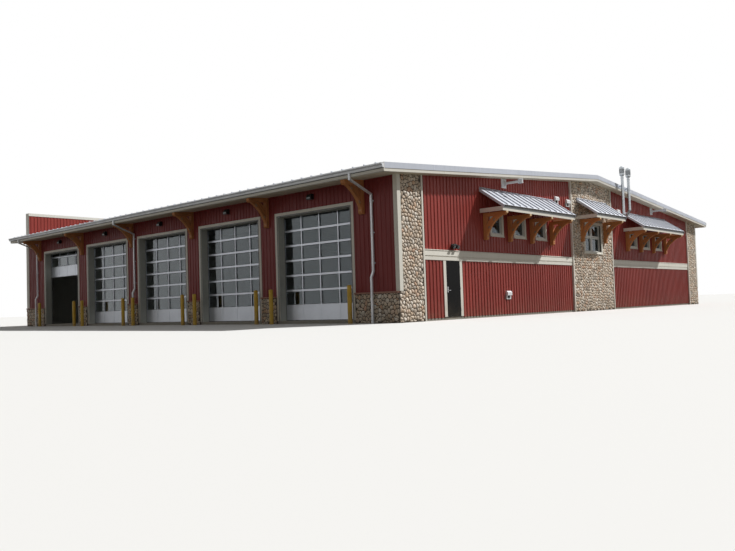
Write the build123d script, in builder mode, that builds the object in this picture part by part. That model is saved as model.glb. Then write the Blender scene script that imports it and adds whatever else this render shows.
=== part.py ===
from build123d import *

import math
import os

# A one-storey fire station: an engine hall with five overhead doors along the front (facing -Y),
# a gable side with a man door and canopies (facing +X), and a level-topped end wall at -X.
# Millimetres, +Z up. Heights are counted from the finished floor unless a name says otherwise.
# The origin is under the middle of the whole outline, at the foot of the walls.

# Hall
front_length = 30000
hall_depth = 31000
wall = 340
left_wall_thickness = 280
slab = 120
parapet_above_eave = 1830

# Roof: the underside meets the front wall's outer face at eave_height, above the overhead doors
header_height = 900
roof_pitch = 1 / 12
roof_depth = 300
eave_overhang = 1100
rake_overhang = 420
ridge_cap_reach = 260
ridge_cap_thickness = 18
fascia_thickness = 30
fascia_height = 290
gutter_width = 120
gutter_height = 150
gutter_drop = 25
gutter_joint_gap = 6
gutter_joint_from_bracket = 343
rake_board_height = 110
rake_board_thickness = 30
rake_flashing_height = 190
rake_flashing_thickness = 45
rake_lip_width = 120
rake_lip_thickness = 15
seam_pitch = 530
seam_edge_gap = 200
seam_height = 40
seam_width = 28

# Overhead doors, counted 0 to 4 from the left end of the front
bay_count = 5
first_bay_from_left_wall = 4324
last_bay_from_corner = 4256
bay_clear_width = 4092
bay_clear_height = 4230
casing_width = 166
casing_proud = 30
section_count = 7
section_side_lap = 89
section_head_lap = 40
section_thickness = 45
section_gap = 3
section_end_stile = 100
section_stile = 64
section_rail = 42
lights_across = 4
glass_rebate = 14
glass_thickness = 13
glass_play = 1
raised_by = 2790
track_size = 60
track_clearance = 0.3
track_bend_radius = 400
track_above_opening = 20
track_run = 2900
hanger_width = 40
hanger_thickness = 8
hanger_places = (1300, 2700)

# Stone and cream trim
stone_proud = 60
wainscot_height = 940
wainscot_cap_height = 60
wainscot_cap_proud = 55
near_pilaster = 1440
far_pilaster = 1640
centre_pilaster = 4630
pilaster_strip = 85
corner_trim_width = 185
corner_trim_thickness = 40
pilaster_trim_proud = 100
belt_bottom = 2137
belt_top = 2539
belt_proud = 45
belt_cap_height = 40
belt_cap_proud = 75
belt_groove = 12
belt_lower_board = 125
parapet_cap_height = 145
parapet_cap_proud = 35
parapet_cap_top = 25

# Man door in the gable side; its hinges are on the side away from the front corner
door_from_front = 2814
door_width = 881
door_height = 2115
door_thickness = 45
door_floor_gap = 10
door_gap = 5
door_casing_proud = 35
door_casing_width = 115
door_frame_width = 50
door_frame_depth = 150
door_stop = 16
hinge_heights = (230, 1060, 1890)
hinge_knuckle_radius = 8
hinge_pin_radius = 4
hinge_bore_radius = 4.6
hinge_knuckle_length = 34
hinge_knuckle_gap = 0.4
hinge_plate = 2
hinge_plate_width = 34
lever_height = 1000
lever_from_edge = 65
lever_length = 125
lever_reach = 60
lever_radius = 10
lever_bar_height = 20
lever_bar_thickness = 12
rose_radius = 27
rose_thickness = 9

# Eave brackets, one over each pier
eave_post_width = 190
eave_post_depth = 150
eave_post_drop = 1270
eave_beam_height = 190
eave_beam_end_gap = 60
eave_brace_width = 140
eave_brace_depth = 360
eave_brace_foot_gap = 170
eave_brace_head_gap = 140
eave_brace_sag = 110
beam_end_chamfer = 70
post_foot_chamfer = 45

# Canopies on the gable side: two long ones beside the centre pilaster and a short one on it
canopy_reach = 1160
canopy_to_pilaster = 1715
canopy_side_length = 6200
canopy_side_below_eave = 1010
canopy_centre_length = 3400
canopy_centre_below_eave = 710
canopy_board_height = 170
canopy_board_thickness = 40
canopy_rise = 970
canopy_roof_thickness = 55
canopy_eave_lip = 50
canopy_seam_pitch = 400
canopy_seam_height = 42
canopy_seam_width = 34
canopy_seam_setback = 40
canopy_bracket_pitch = 1860
canopy_centre_bracket_pitch = 2600
canopy_post_width = 150
canopy_post_depth = 180
canopy_post_drop = 1090
canopy_beam_height = 150
canopy_brace_width = 110
canopy_brace_depth = 310
canopy_brace_foot_gap = 190
canopy_brace_head_gap = 198
canopy_brace_sag = 100

# Windows
window_pitch = 1860
window_trim_width = 1040
window_trim_height = 1000
window_trim_border = 120
window_trim_proud = 40
window_below_canopy = 920
centre_window_width = 2080
centre_window_height = 1600
centre_window_below_canopy = 1670
sash_border = 45
sash_depth = 60
sash_setback = 15
centre_mullion = 180
centre_rail = 130
centre_rail_above_middle = 60
pane_thickness = 12

# Fittings
downspout_width = 80
downspout_depth = 65
downspout_from_last_bracket = 480
downspout_from_middle_bracket = 223
downspout_from_first_bracket = -407
downspout_standoff = 35
downspout_drop = 200
downspout_elbow_below_eave = 590
downspout_jog_height = 1750
downspout_jog_drop = 220
bay_light_width = 260
bay_light_height = 210
bay_light_depth = 190
bay_light_above_casing = 434
door_light_from_front = 3300
door_light_height = 2700
door_light_box = 150
door_light_head_radius = 74
door_light_head_length = 140
door_light_spread = 130
near_arm_from_canopy = -1170
far_arm_from_canopy = 970
arm_light_below_soffit = 222
arm_plate_width = 380
arm_plate_height = 390
arm_plate_thickness = 30
arm_reach = 830
arm_size = 85
arm_head_radius = 105
arm_head_height = 150
high_vent_from_pilaster = (1385, 255, -5595)
high_vent_above_eave = (60, 10, -35)
low_vent_from_canopy = 1170
low_vent_height = 770
vent_size = 350
vent_depth = 120
vent_lip_depth = 60
vent_hood_height = 190
vent_frame = 25
vent_recess = 35
vent_sill = 55
flue_from_pilaster = (285, 1085)
flue_stand = 650
flue_radius = 75
flue_bend_radii = (160, 520)
flue_base_below_eave = 320
flue_top_above_eave = 1870
flue_elbow_turns = 3
flue_cap_radius = 130
flue_cap_height = 400
flue_cone_height = 60
flue_strap_height = 60
flue_strap_width = 40
bollard_radius = 85
bollard_height = 1300
bollard_spread = 2200
bollard_front = 350
bollard_dome = 55

# Frame of the model, worked out from the sizes above
eave_height = bay_clear_height + header_height
parapet_height = eave_height + parapet_above_eave
x_right = (front_length + left_wall_thickness + pilaster_trim_proud - canopy_reach) / 2
x_left_inside = x_right - front_length
x_left = x_left_inside - left_wall_thickness
y_front = -hall_depth / 2
y_back = hall_depth / 2
floor_z = slab
slope_angle = math.degrees(math.atan(roof_pitch))
x_rake = x_right + rake_overhang
y_eave = y_front - eave_overhang
middle_x = (x_left + x_right) / 2
bay_pitch = (front_length - first_bay_from_left_wall - last_bay_from_corner) / (bay_count - 1)
bay_middles = [x_left_inside + first_bay_from_left_wall + bay_pitch * k for k in range(bay_count)]
bracket_middles = [bay_middles[0] + bay_pitch * (k - 0.5) for k in range(bay_count + 1)]
casing_outer = bay_clear_width / 2 + casing_width
wainscot_top = floor_z + wainscot_height + wainscot_cap_height


def soffit(y):
    # Height of the roof's underside at a place across the hall
    return floor_z + eave_height + (hall_depth / 2 - abs(y)) * roof_pitch


def roof_top(y):
    return soffit(y) + roof_depth


def cap_underside(y):
    return floor_z + parapet_height - parapet_cap_height


def under_roof(y0, y1, bottom, top=soffit):
    # Outline of a wall piece from y0 to y1 whose top follows the roof's underside
    corners = [(y0, bottom), (y1, bottom), (y1, top(y1))]
    if y0 < 0 < y1 and top(0) > top(y0):
        corners.append((0, top(0)))
    corners.append((y0, top(y0)))
    return corners


# Floor
with BuildPart() as floor_slab:
    with BuildSketch():
        with Locations((middle_x, 0)):
            Rectangle(x_right - x_left, hall_depth)
    extrude(amount=slab)

# Front wall: piers beside the door openings and one header over them
opening_edges = [x_left_inside]
for bay_x in bay_middles:
    opening_edges += [bay_x - bay_clear_width / 2, bay_x + bay_clear_width / 2]
opening_edges.append(x_right)
with BuildPart() as front_piers:
    with BuildSketch(Plane.XY.offset(floor_z)):
        for k in range(bay_count + 1):
            pier_left = opening_edges[2 * k]
            pier_right = opening_edges[2 * k + 1]
            with Locations(((pier_left + pier_right) / 2, y_front + wall / 2)):
                Rectangle(pier_right - pier_left, wall)
    extrude(amount=bay_clear_height)

with BuildPart() as front_header:
    with BuildSketch(Plane.YZ.offset(x_left_inside)):
        with BuildLine():
            Polyline(*under_roof(y_front, y_front + wall, floor_z + bay_clear_height), close=True)
        make_face()
    extrude(amount=front_length)

with BuildPart() as back_wall:
    with BuildSketch(Plane.YZ.offset(x_left_inside)):
        with BuildLine():
            Polyline(*under_roof(y_back - wall, y_back, floor_z), close=True)
        make_face()
    extrude(amount=front_length)

# Level-topped end wall
with BuildPart() as left_wall:
    with BuildSketch(Plane.XY.offset(floor_z)):
        with Locations(((x_left + x_left_inside) / 2, 0)):
            Rectangle(left_wall_thickness, hall_depth)
    extrude(amount=parapet_height)

# Gable wall, split beside and over the man door
door_left = y_front + door_from_front
door_right = door_left + door_width
opening_left = door_left - door_gap - door_frame_width
opening_right = door_right + door_gap + door_frame_width
leaf_top = door_floor_gap + door_height
opening_top = floor_z + leaf_top + door_gap + door_frame_width
with BuildPart() as right_wall_by_door:
    with BuildSketch(Plane.YZ.offset(x_right - wall)):
        with BuildLine():
            Polyline(*under_roof(y_front + wall, opening_left, floor_z), close=True)
        make_face()
    extrude(amount=wall)

with BuildPart() as right_wall_over_door:
    with BuildSketch(Plane.YZ.offset(x_right - wall)):
        with BuildLine():
            Polyline(*under_roof(opening_left, opening_right, opening_top), close=True)
        make_face()
    extrude(amount=wall)

canopy_middle = centre_pilaster / 2 + canopy_to_pilaster + canopy_side_length / 2
canopy_middles = (-canopy_middle, 0, canopy_middle)
canopy_side_bottom = soffit(y_front) - canopy_side_below_eave
canopy_centre_bottom = soffit(y_front) - canopy_centre_below_eave
small_windows = [
    (middle + window_pitch * k, canopy_side_bottom - window_below_canopy + window_trim_height / 2)
    for middle in (canopy_middles[0], canopy_middles[2])
    for k in (-1, 0, 1)
]
centre_window = (0, canopy_centre_bottom - centre_window_below_canopy + centre_window_height / 2)
with BuildPart() as right_wall:
    with BuildSketch(Plane.YZ.offset(x_right - wall)):
        with BuildLine():
            Polyline(*under_roof(opening_right, y_back - wall, floor_z), close=True)
        make_face()
        with Locations(*small_windows):
            Rectangle(
                window_trim_width - 2 * window_trim_border,
                window_trim_height - 2 * window_trim_border,
                mode=Mode.SUBTRACT,
            )
        with Locations(centre_window):
            Rectangle(
                centre_window_width - 2 * window_trim_border,
                centre_window_height - 2 * window_trim_border,
                mode=Mode.SUBTRACT,
            )
    extrude(amount=wall)

# Roof: two slopes that meet at the ridge, fascia, gutters and trim
roof_length = x_rake - x_left_inside
slope_outline = [(y_eave, soffit(y_eave)), (0, soffit(0)), (0, roof_top(0)), (y_eave, roof_top(y_eave))]
seam_count = int((roof_length - 2 * seam_edge_gap) / seam_pitch) + 1
seam_length = (-ridge_cap_reach - y_eave) / math.cos(math.radians(slope_angle))
seam_y = (y_eave - ridge_cap_reach) / 2
seam_plane = Plane(
    origin=((x_left_inside + x_rake) / 2, seam_y, roof_top(seam_y)),
    x_dir=(1, 0, 0),
    z_dir=(0, -roof_pitch, 1),
)
with BuildPart() as roof_front_slope:
    with BuildSketch(Plane.YZ.offset(x_left_inside)):
        with BuildLine():
            Polyline(*slope_outline, close=True)
        make_face()
    extrude(amount=roof_length)
    with BuildSketch(seam_plane):
        with GridLocations(seam_pitch, 1, seam_count, 1):
            Rectangle(seam_width, seam_length)
    extrude(amount=seam_height)

with BuildPart() as roof_back_slope:
    add(mirror(roof_front_slope.part, about=Plane.XZ, mode=Mode.PRIVATE))

with BuildPart() as ridge_cap:
    with BuildSketch(Plane.YZ.offset(x_left_inside)):
        with BuildLine():
            Polyline(
                (-ridge_cap_reach, roof_top(ridge_cap_reach)),
                (0, roof_top(0)),
                (ridge_cap_reach, roof_top(ridge_cap_reach)),
                (ridge_cap_reach, roof_top(ridge_cap_reach) + ridge_cap_thickness),
                (0, roof_top(0) + ridge_cap_thickness),
                (-ridge_cap_reach, roof_top(ridge_cap_reach) + ridge_cap_thickness),
                close=True,
            )
        make_face()
    extrude(amount=roof_length)

with BuildPart() as rake_boards:
    for edge_x, y_inner in ((x_rake, 0), (x_left_inside - rake_board_thickness, y_front)):
        with BuildSketch(Plane.YZ.offset(edge_x)):
            with BuildLine():
                Polyline(
                    (y_eave, soffit(y_eave)),
                    (y_inner, soffit(y_inner)),
                    (y_inner, soffit(y_inner) + rake_board_height),
                    (y_eave, soffit(y_eave) + rake_board_height),
                    close=True,
                )
            make_face()
        extrude(amount=rake_board_thickness)
    mirror(about=Plane.XZ)

with BuildPart() as rake_flashing:
    for edge_x, y_inner, side in ((x_rake, 0, 1), (x_left_inside, y_front, -1)):
        with BuildSketch(Plane.YZ.offset(edge_x)):
            with BuildLine():
                Polyline(
                    (y_eave, roof_top(y_eave) - rake_flashing_height),
                    (y_inner, roof_top(y_inner) - rake_flashing_height),
                    (y_inner, roof_top(y_inner) + rake_lip_thickness),
                    (y_eave, roof_top(y_eave) + rake_lip_thickness),
                    close=True,
                )
            make_face()
        extrude(amount=side * rake_flashing_thickness)
        with BuildSketch(Plane.YZ.offset(edge_x)):
            with BuildLine():
                Polyline(
                    (y_eave, roof_top(y_eave)),
                    (y_inner, roof_top(y_inner)),
                    (y_inner, roof_top(y_inner) + rake_lip_thickness),
                    (y_eave, roof_top(y_eave) + rake_lip_thickness),
                    close=True,
                )
            make_face()
        extrude(amount=-side * rake_lip_width)
    mirror(about=Plane.XZ)
    with BuildSketch(Plane.YZ.offset(x_rake - rake_lip_width)):
        with BuildLine():
            Polyline(
                (-ridge_cap_reach, roof_top(ridge_cap_reach)),
                (0, roof_top(0)),
                (ridge_cap_reach, roof_top(ridge_cap_reach)),
                (ridge_cap_reach, roof_top(0) + roof_depth),
                (-ridge_cap_reach, roof_top(0) + roof_depth),
                close=True,
            )
        make_face()
    extrude(amount=rake_lip_width, mode=Mode.SUBTRACT)

fascia_left = x_left_inside - rake_flashing_thickness
fascia_right = x_rake + rake_flashing_thickness
with BuildPart() as eave_fascias:
    with BuildSketch(Plane.XZ.offset(-y_eave)):
        with Locations(((fascia_left + fascia_right) / 2, roof_top(y_eave) - fascia_height / 2)):
            Rectangle(fascia_right - fascia_left, fascia_height)
    extrude(amount=fascia_thickness)
    mirror(about=Plane.XZ)

y_fascia = y_eave - fascia_thickness
gutter_top = roof_top(y_eave) - gutter_drop
joint_x = bracket_middles[2] + gutter_joint_from_bracket
gutter_outline = [
    (y_fascia, gutter_top - gutter_height),
    (y_fascia - gutter_width * 0.62, gutter_top - gutter_height),
    (y_fascia - gutter_width * 0.72, gutter_top - gutter_height * 0.55),
    (y_fascia - gutter_width * 0.94, gutter_top - gutter_height * 0.3),
    (y_fascia - gutter_width, gutter_top - gutter_height * 0.16),
    (y_fascia - gutter_width, gutter_top),
    (y_fascia, gutter_top),
]
with BuildPart() as gutters:
    gutter_ends = (fascia_left, joint_x - gutter_joint_gap / 2, joint_x + gutter_joint_gap / 2, fascia_right)
    for start_x, end_x in (gutter_ends[:2], gutter_ends[2:]):
        with BuildSketch(Plane.YZ.offset(start_x)):
            with BuildLine():
                Polyline(*gutter_outline, close=True)
            make_face()
        extrude(amount=end_x - start_x)
    mirror(about=Plane.XZ)

# Each downspout drops from the gutter, runs back to the wall and steps out over the stone foot
spout_wall = y_front - downspout_standoff - downspout_depth / 2
spout_foot = y_front - stone_proud - wainscot_cap_proud - downspout_standoff - downspout_depth / 2
spout_top = y_fascia - gutter_width * 0.36
spout_route = [
    (spout_top, gutter_top - gutter_height),
    (spout_top, gutter_top - gutter_height - downspout_drop),
    (spout_wall, soffit(y_front) - downspout_elbow_below_eave),
    (spout_wall, floor_z + downspout_jog_height),
    (spout_foot, floor_z + downspout_jog_height - downspout_jog_drop),
    (spout_foot, 0),
]
spout_places = (
    bracket_middles[0] + downspout_from_first_bracket,
    bracket_middles[2] + downspout_from_middle_bracket,
    bracket_middles[-1] + downspout_from_last_bracket,
)
with BuildPart() as downspouts:
    for spout_x in spout_places:
        with BuildLine(Plane.YZ.offset(spout_x)) as spout_path:
            Polyline(*spout_route)
        with BuildSketch(Plane(origin=spout_path.wire() @ 0, x_dir=(1, 0, 0), z_dir=(0, 0, -1))):
            Rectangle(downspout_width, downspout_depth)
        sweep(transition=Transition.RIGHT)
    mirror(about=Plane.XZ)

with BuildPart() as parapet_cap:
    cap_left = x_left - pilaster_trim_proud
    cap_right = x_left_inside + parapet_cap_proud
    with BuildSketch(Plane.XY.offset(floor_z + parapet_height + parapet_cap_top)):
        with Locations(((cap_left + cap_right) / 2, 0)):
            Rectangle(cap_right - cap_left, hall_depth + 2 * corner_trim_thickness)
    extrude(amount=-parapet_cap_top - parapet_cap_height)
    with BuildSketch(Plane.XY.offset(floor_z + parapet_height)):
        with Locations(((x_left + x_left_inside) / 2, 0)):
            Rectangle(left_wall_thickness, hall_depth)
    extrude(amount=-parapet_cap_height, mode=Mode.SUBTRACT)

# Eave brackets: a wall post, a beam under the soffit and a curved knee brace between them
post_face = y_front - eave_post_depth
beam_end = y_eave + eave_beam_end_gap
post_foot = soffit(y_front) - eave_post_drop
with BuildPart() as eave_posts:
    for bracket_x in bracket_middles:
        with BuildSketch(Plane.YZ.offset(bracket_x - eave_post_width / 2)):
            with BuildLine():
                Polyline(
                    (y_front, post_foot),
                    (y_front, soffit(y_front)),
                    (post_face, soffit(post_face)),
                    (post_face, post_foot + post_foot_chamfer),
                    (post_face + post_foot_chamfer, post_foot),
                    close=True,
                )
            make_face()
        extrude(amount=eave_post_width)
    mirror(about=Plane.XZ)

with BuildPart() as eave_beams:
    for bracket_x in bracket_middles:
        with BuildSketch(Plane.YZ.offset(bracket_x - eave_post_width / 2)):
            with BuildLine():
                Polyline(
                    (post_face, soffit(post_face)),
                    (beam_end, soffit(beam_end)),
                    (beam_end, soffit(beam_end) - eave_beam_height + beam_end_chamfer),
                    (beam_end + beam_end_chamfer, soffit(beam_end + beam_end_chamfer) - eave_beam_height),
                    (post_face, soffit(post_face) - eave_beam_height),
                    close=True,
                )
            make_face()
        extrude(amount=eave_post_width)
    mirror(about=Plane.XZ)


def knee_brace(face, foot, head, beam_under, depth, sag):
    # Corners and arc middles of a curved brace from a post's face to a beam's underside.
    # face and head are places along the beam; beam_under gives the beam's underside there.
    outward = 1 if head > face else -1
    head_back = head - outward * depth * 1.25
    low_start = Vector(face, foot)
    low_end = Vector(head, beam_under(head))
    high_start = Vector(face, foot + depth * 1.25)
    high_end = Vector(head_back, beam_under(head_back))
    toward_corner = Vector(-outward, 1).normalized() * sag
    low_middle = (low_start + low_end) / 2 + toward_corner
    high_middle = (high_start + high_end) / 2 + toward_corner * 0.55
    return low_start, low_middle, low_end, high_start, high_middle, high_end


def eave_beam_under(y):
    return soffit(y) - eave_beam_height


eave_brace = knee_brace(
    post_face,
    post_foot + eave_brace_foot_gap,
    beam_end + eave_brace_head_gap,
    eave_beam_under,
    eave_brace_depth,
    eave_brace_sag,
)
with BuildPart() as eave_braces:
    for bracket_x in bracket_middles:
        with BuildSketch(Plane.YZ.offset(bracket_x - eave_brace_width / 2)):
            with BuildLine():
                ThreePointArc(eave_brace[0], eave_brace[1], eave_brace[2])
                Line(eave_brace[2], eave_brace[5])
                ThreePointArc(eave_brace[5], eave_brace[4], eave_brace[3])
                Line(eave_brace[3], eave_brace[0])
            make_face()
        extrude(amount=eave_brace_width)
    mirror(about=Plane.XZ)

# Stone: pilasters on the two end walls, and a low wainscot along the front piers and the back
strip_near = y_front + near_pilaster
strip_far = y_back - far_pilaster
stone_above_foot = corner_trim_width - corner_trim_thickness


def corner_pilaster(corner, strip, inward, top):
    # Stone beside a corner of the building: it steps back above the wainscot, where the trim starts
    edge = strip - inward * pilaster_strip
    step = corner + inward * stone_above_foot
    return [(corner, 0), (edge, 0), (edge, top(edge)), (step, top(step)), (step, wainscot_top), (corner, wainscot_top)]


with BuildPart() as stone_pilasters:
    for face_x, top in ((x_right, soffit), (x_left - stone_proud, cap_underside)):
        pilaster_outlines = [
            corner_pilaster(y_front, strip_near, 1, top),
            corner_pilaster(y_back, strip_far, -1, top),
            under_roof(-centre_pilaster / 2 + pilaster_strip, centre_pilaster / 2 - pilaster_strip, 0, top),
        ]
        for outline in pilaster_outlines:
            with BuildSketch(Plane.YZ.offset(face_x)):
                with BuildLine():
                    Polyline(*outline, close=True)
                make_face()
            extrude(amount=stone_proud)
    with BuildSketch(Plane.YZ.offset(x_right)):
        with Locations(centre_window):
            Rectangle(
                centre_window_width - 2 * window_trim_border,
                centre_window_height - 2 * window_trim_border,
            )
    extrude(amount=stone_proud, mode=Mode.SUBTRACT)

front_stone_edges = [x_left - stone_proud]
for bay_x in bay_middles:
    front_stone_edges += [bay_x - casing_outer, bay_x + casing_outer]
front_stone_edges.append(x_right + stone_proud)
front_stones = [
    (front_stone_edges[2 * k], front_stone_edges[2 * k + 1], y_front - stone_proud, y_front)
    for k in range(bay_count + 1)
]
back_stone = (x_left - stone_proud, x_right + stone_proud, y_back, y_back + stone_proud)
with BuildPart() as stone_wainscot:
    with BuildSketch():
        for left, right, low, high in front_stones + [back_stone]:
            with Locations(((left + right) / 2, (low + high) / 2)):
                Rectangle(right - left, high - low)
    extrude(amount=floor_z + wainscot_height)

with BuildPart() as wainscot_caps:
    with BuildSketch(Plane.XY.offset(floor_z + wainscot_height)):
        for left, right, low, high in front_stones:
            with Locations(((left + right) / 2, high - (stone_proud + wainscot_cap_proud) / 2)):
                Rectangle(right - left, stone_proud + wainscot_cap_proud)
        with Locations(((back_stone[0] + back_stone[1]) / 2, y_back + (stone_proud + wainscot_cap_proud) / 2)):
            Rectangle(back_stone[1] - back_stone[0], stone_proud + wainscot_cap_proud)
    extrude(amount=wainscot_cap_height)

# Cream trim
with BuildPart() as corner_trims:
    with BuildSketch(Plane.XY.offset(wainscot_top)):
        with BuildLine():
            Polyline(
                (x_right, y_front),
                (x_right, y_front + stone_above_foot),
                (x_right + pilaster_trim_proud, y_front + stone_above_foot),
                (x_right + pilaster_trim_proud, y_front - corner_trim_thickness),
                (x_right - corner_trim_width + pilaster_trim_proud, y_front - corner_trim_thickness),
                (x_right - corner_trim_width + pilaster_trim_proud, y_front),
                close=True,
            )
        make_face()
        mirror(about=Plane.XZ)
    extrude(amount=soffit(0) - wainscot_top)
    split(
        bisect_by=Plane(origin=(0, y_front, soffit(y_front)), x_dir=(1, 0, 0), z_dir=(0, -roof_pitch, 1)),
        keep=Keep.BOTTOM,
    )
    split(
        bisect_by=Plane(origin=(0, y_back, soffit(y_back)), x_dir=(1, 0, 0), z_dir=(0, roof_pitch, 1)),
        keep=Keep.BOTTOM,
    )
    with BuildSketch(Plane.XY.offset(wainscot_top)):
        with BuildLine():
            Polyline(
                (x_left, y_front),
                (x_left, y_front + stone_above_foot),
                (x_left - pilaster_trim_proud, y_front + stone_above_foot),
                (x_left - pilaster_trim_proud, y_front - corner_trim_thickness),
                (x_left_inside - rake_flashing_thickness, y_front - corner_trim_thickness),
                (x_left_inside - rake_flashing_thickness, y_front),
                close=True,
            )
        make_face()
        mirror(about=Plane.XZ)
    extrude(amount=cap_underside(y_front) - wainscot_top)

strip_starts = [
    strip_near - pilaster_strip,
    -centre_pilaster / 2,
    centre_pilaster / 2 - pilaster_strip,
    strip_far,
]
with BuildPart() as pilaster_trims:
    for face_x, top in ((x_right, soffit), (x_left - pilaster_trim_proud, cap_underside)):
        for start in strip_starts:
            with BuildSketch(Plane.YZ.offset(face_x)):
                with BuildLine():
                    Polyline(*under_roof(start, start + pilaster_strip, 0, top), close=True)
                make_face()
            extrude(amount=pilaster_trim_proud)

belt_profile = [
    (0, belt_bottom),
    (belt_proud, belt_bottom),
    (belt_proud, belt_bottom + belt_lower_board),
    (belt_proud - belt_groove, belt_bottom + belt_lower_board),
    (belt_proud - belt_groove, belt_bottom + belt_lower_board + belt_groove),
    (belt_proud, belt_bottom + belt_lower_board + belt_groove),
    (belt_proud, belt_top - belt_cap_height),
    (belt_cap_proud, belt_top - belt_cap_height),
    (belt_cap_proud, belt_top - belt_cap_height / 2),
    (0, belt_top),
]
belt_spans = [(strip_near, -centre_pilaster / 2), (centre_pilaster / 2, strip_far)]
with BuildPart() as belt_bands:
    for low, high in belt_spans:
        with BuildSketch(Plane.XZ.offset(-low)):
            with BuildLine():
                Polyline(*[(x_right + out, floor_z + z) for out, z in belt_profile], close=True)
            make_face()
            with BuildLine():
                Polyline(*[(x_left - out, floor_z + z) for out, z in belt_profile], close=True)
            make_face()
        extrude(amount=low - high)

with BuildPart() as casing_jambs:
    with BuildSketch(Plane.XZ.offset(-y_front)):
        for bay_x in bay_middles:
            for side in (-1, 1):
                jamb_x = bay_x + side * (bay_clear_width + casing_width) / 2
                with Locations((jamb_x, floor_z + bay_clear_height / 2)):
                    Rectangle(casing_width, bay_clear_height)
    extrude(amount=casing_proud)
    with BuildSketch(Plane.YZ.offset(x_right)):
        for jamb_y in (opening_left - door_casing_width / 2, opening_right + door_casing_width / 2):
            with Locations((jamb_y, floor_z + belt_bottom / 2)):
                Rectangle(door_casing_width, belt_bottom)
    extrude(amount=door_casing_proud)

with BuildPart() as casing_heads:
    with BuildSketch(Plane.XZ.offset(-y_front)):
        for bay_x in bay_middles:
            with Locations((bay_x, floor_z + bay_clear_height + casing_width / 2)):
                Rectangle(2 * casing_outer, casing_width)
    extrude(amount=casing_proud)

# Overhead doors: each is a curtain of hinged sections behind the opening, guided at both edges
y_inside = y_front + wall
hinge_line = y_inside + section_thickness
section_width = bay_clear_width + 2 * section_side_lap
section_height = (bay_clear_height + section_head_lap) / section_count
track_bend_start = bay_clear_height + track_above_opening
pane_pitch = (section_width - 2 * section_end_stile + section_stile) / lights_across
pane_width = pane_pitch - section_stile
pane_height = section_height - section_gap - 2 * section_rail


def along_track(distance):
    # Place of the curtain's inner face on its way up and back: depth behind the wall, and height
    if distance <= track_bend_start:
        return hinge_line, floor_z + distance
    turn = (distance - track_bend_start) / track_bend_radius
    if turn <= math.pi / 2:
        return (
            hinge_line + track_bend_radius * (1 - math.cos(turn)),
            floor_z + track_bend_start + track_bend_radius * math.sin(turn),
        )
    past = distance - track_bend_start - track_bend_radius * math.pi / 2
    return hinge_line + track_bend_radius + past, floor_z + track_bend_start + track_bend_radius


def section_planes(lifted):
    # One plane for each section: origin at its lower edge, its inner face facing local +Z
    planes = []
    distance = lifted
    for k in range(section_count):
        low = Vector(0, *along_track(distance))
        step = section_height
        while (Vector(0, *along_track(distance + step)) - low).length < section_height - 0.01:
            step += 0.5
        high = Vector(0, *along_track(distance + step))
        up = (high - low).normalized()
        planes.append(Plane(origin=low, x_dir=(-1, 0, 0), z_dir=Vector(-1, 0, 0).cross(up)))
        distance += step
    return planes


curtains = {
    "raised_bay_door": [(bay_middles[0], raised_by)],
    "closed_bay_doors": [(bay_x, 0) for bay_x in bay_middles[1:]],
}
bay_doors = {}
for name, places in curtains.items():
    with BuildPart() as curtain:
        for bay_x, lifted in places:
            for k, plane in enumerate(section_planes(lifted)):
                middle = (-bay_x, section_height / 2)
                with BuildSketch(plane):
                    with Locations(middle):
                        Rectangle(section_width, section_height - section_gap)
                        if k > 0:
                            with GridLocations(pane_pitch, 1, lights_across, 1):
                                Rectangle(pane_width, pane_height, mode=Mode.SUBTRACT)
                extrude(amount=-section_thickness)
                if k > 0:
                    with BuildSketch(plane):
                        with Locations(middle):
                            Rectangle(section_width - section_end_stile, pane_height + section_rail)
                    extrude(amount=-glass_rebate, mode=Mode.SUBTRACT)
    bay_doors[name] = curtain

with BuildPart() as bay_door_glass:
    for places in curtains.values():
        for bay_x, lifted in places:
            for plane in section_planes(lifted)[1:]:
                with BuildSketch(plane.offset(glass_thickness - glass_rebate)):
                    with Locations((-bay_x, section_height / 2)):
                        Rectangle(
                            section_width - section_end_stile - 2 * glass_play,
                            pane_height + section_rail - 2 * glass_play,
                        )
                extrude(amount=-glass_thickness)

track_offset = section_width / 2 + track_clearance
track_middle = y_inside + track_size / 2
with BuildPart() as upright_tracks:
    with BuildSketch(Plane.XY.offset(floor_z)):
        for bay_x in bay_middles:
            for side in (-1, 1):
                with Locations((bay_x + side * (track_offset + track_size / 2), track_middle)):
                    Rectangle(track_size, track_size)
    extrude(amount=track_bend_start)

overhead_z = floor_z + track_bend_start + track_bend_radius
with BuildPart() as overhead_tracks:
    for bay_x in bay_middles:
        for side in (-1, 1):
            track_x = bay_x + side * (track_offset + track_size / 2)
            with BuildLine(Plane.YZ.offset(track_x)) as track_path:
                RadiusArc(
                    (track_middle, floor_z + track_bend_start),
                    (track_middle + track_bend_radius, overhead_z),
                    track_bend_radius,
                )
                Line((track_middle + track_bend_radius, overhead_z), (track_middle + track_run, overhead_z))
            with BuildSketch(Plane(origin=track_path.wire() @ 0, x_dir=(1, 0, 0), z_dir=(0, 0, 1))):
                Rectangle(track_size, track_size)
            sweep()
            for place in hanger_places:
                hanger_y = track_middle + place
                with BuildSketch(Plane.XY.offset(overhead_z)):
                    with Locations((track_x, hanger_y)):
                        Rectangle(hanger_thickness, hanger_width)
                extrude(amount=soffit(hanger_y) - hanger_width * roof_pitch / 2 - overhead_z)

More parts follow.
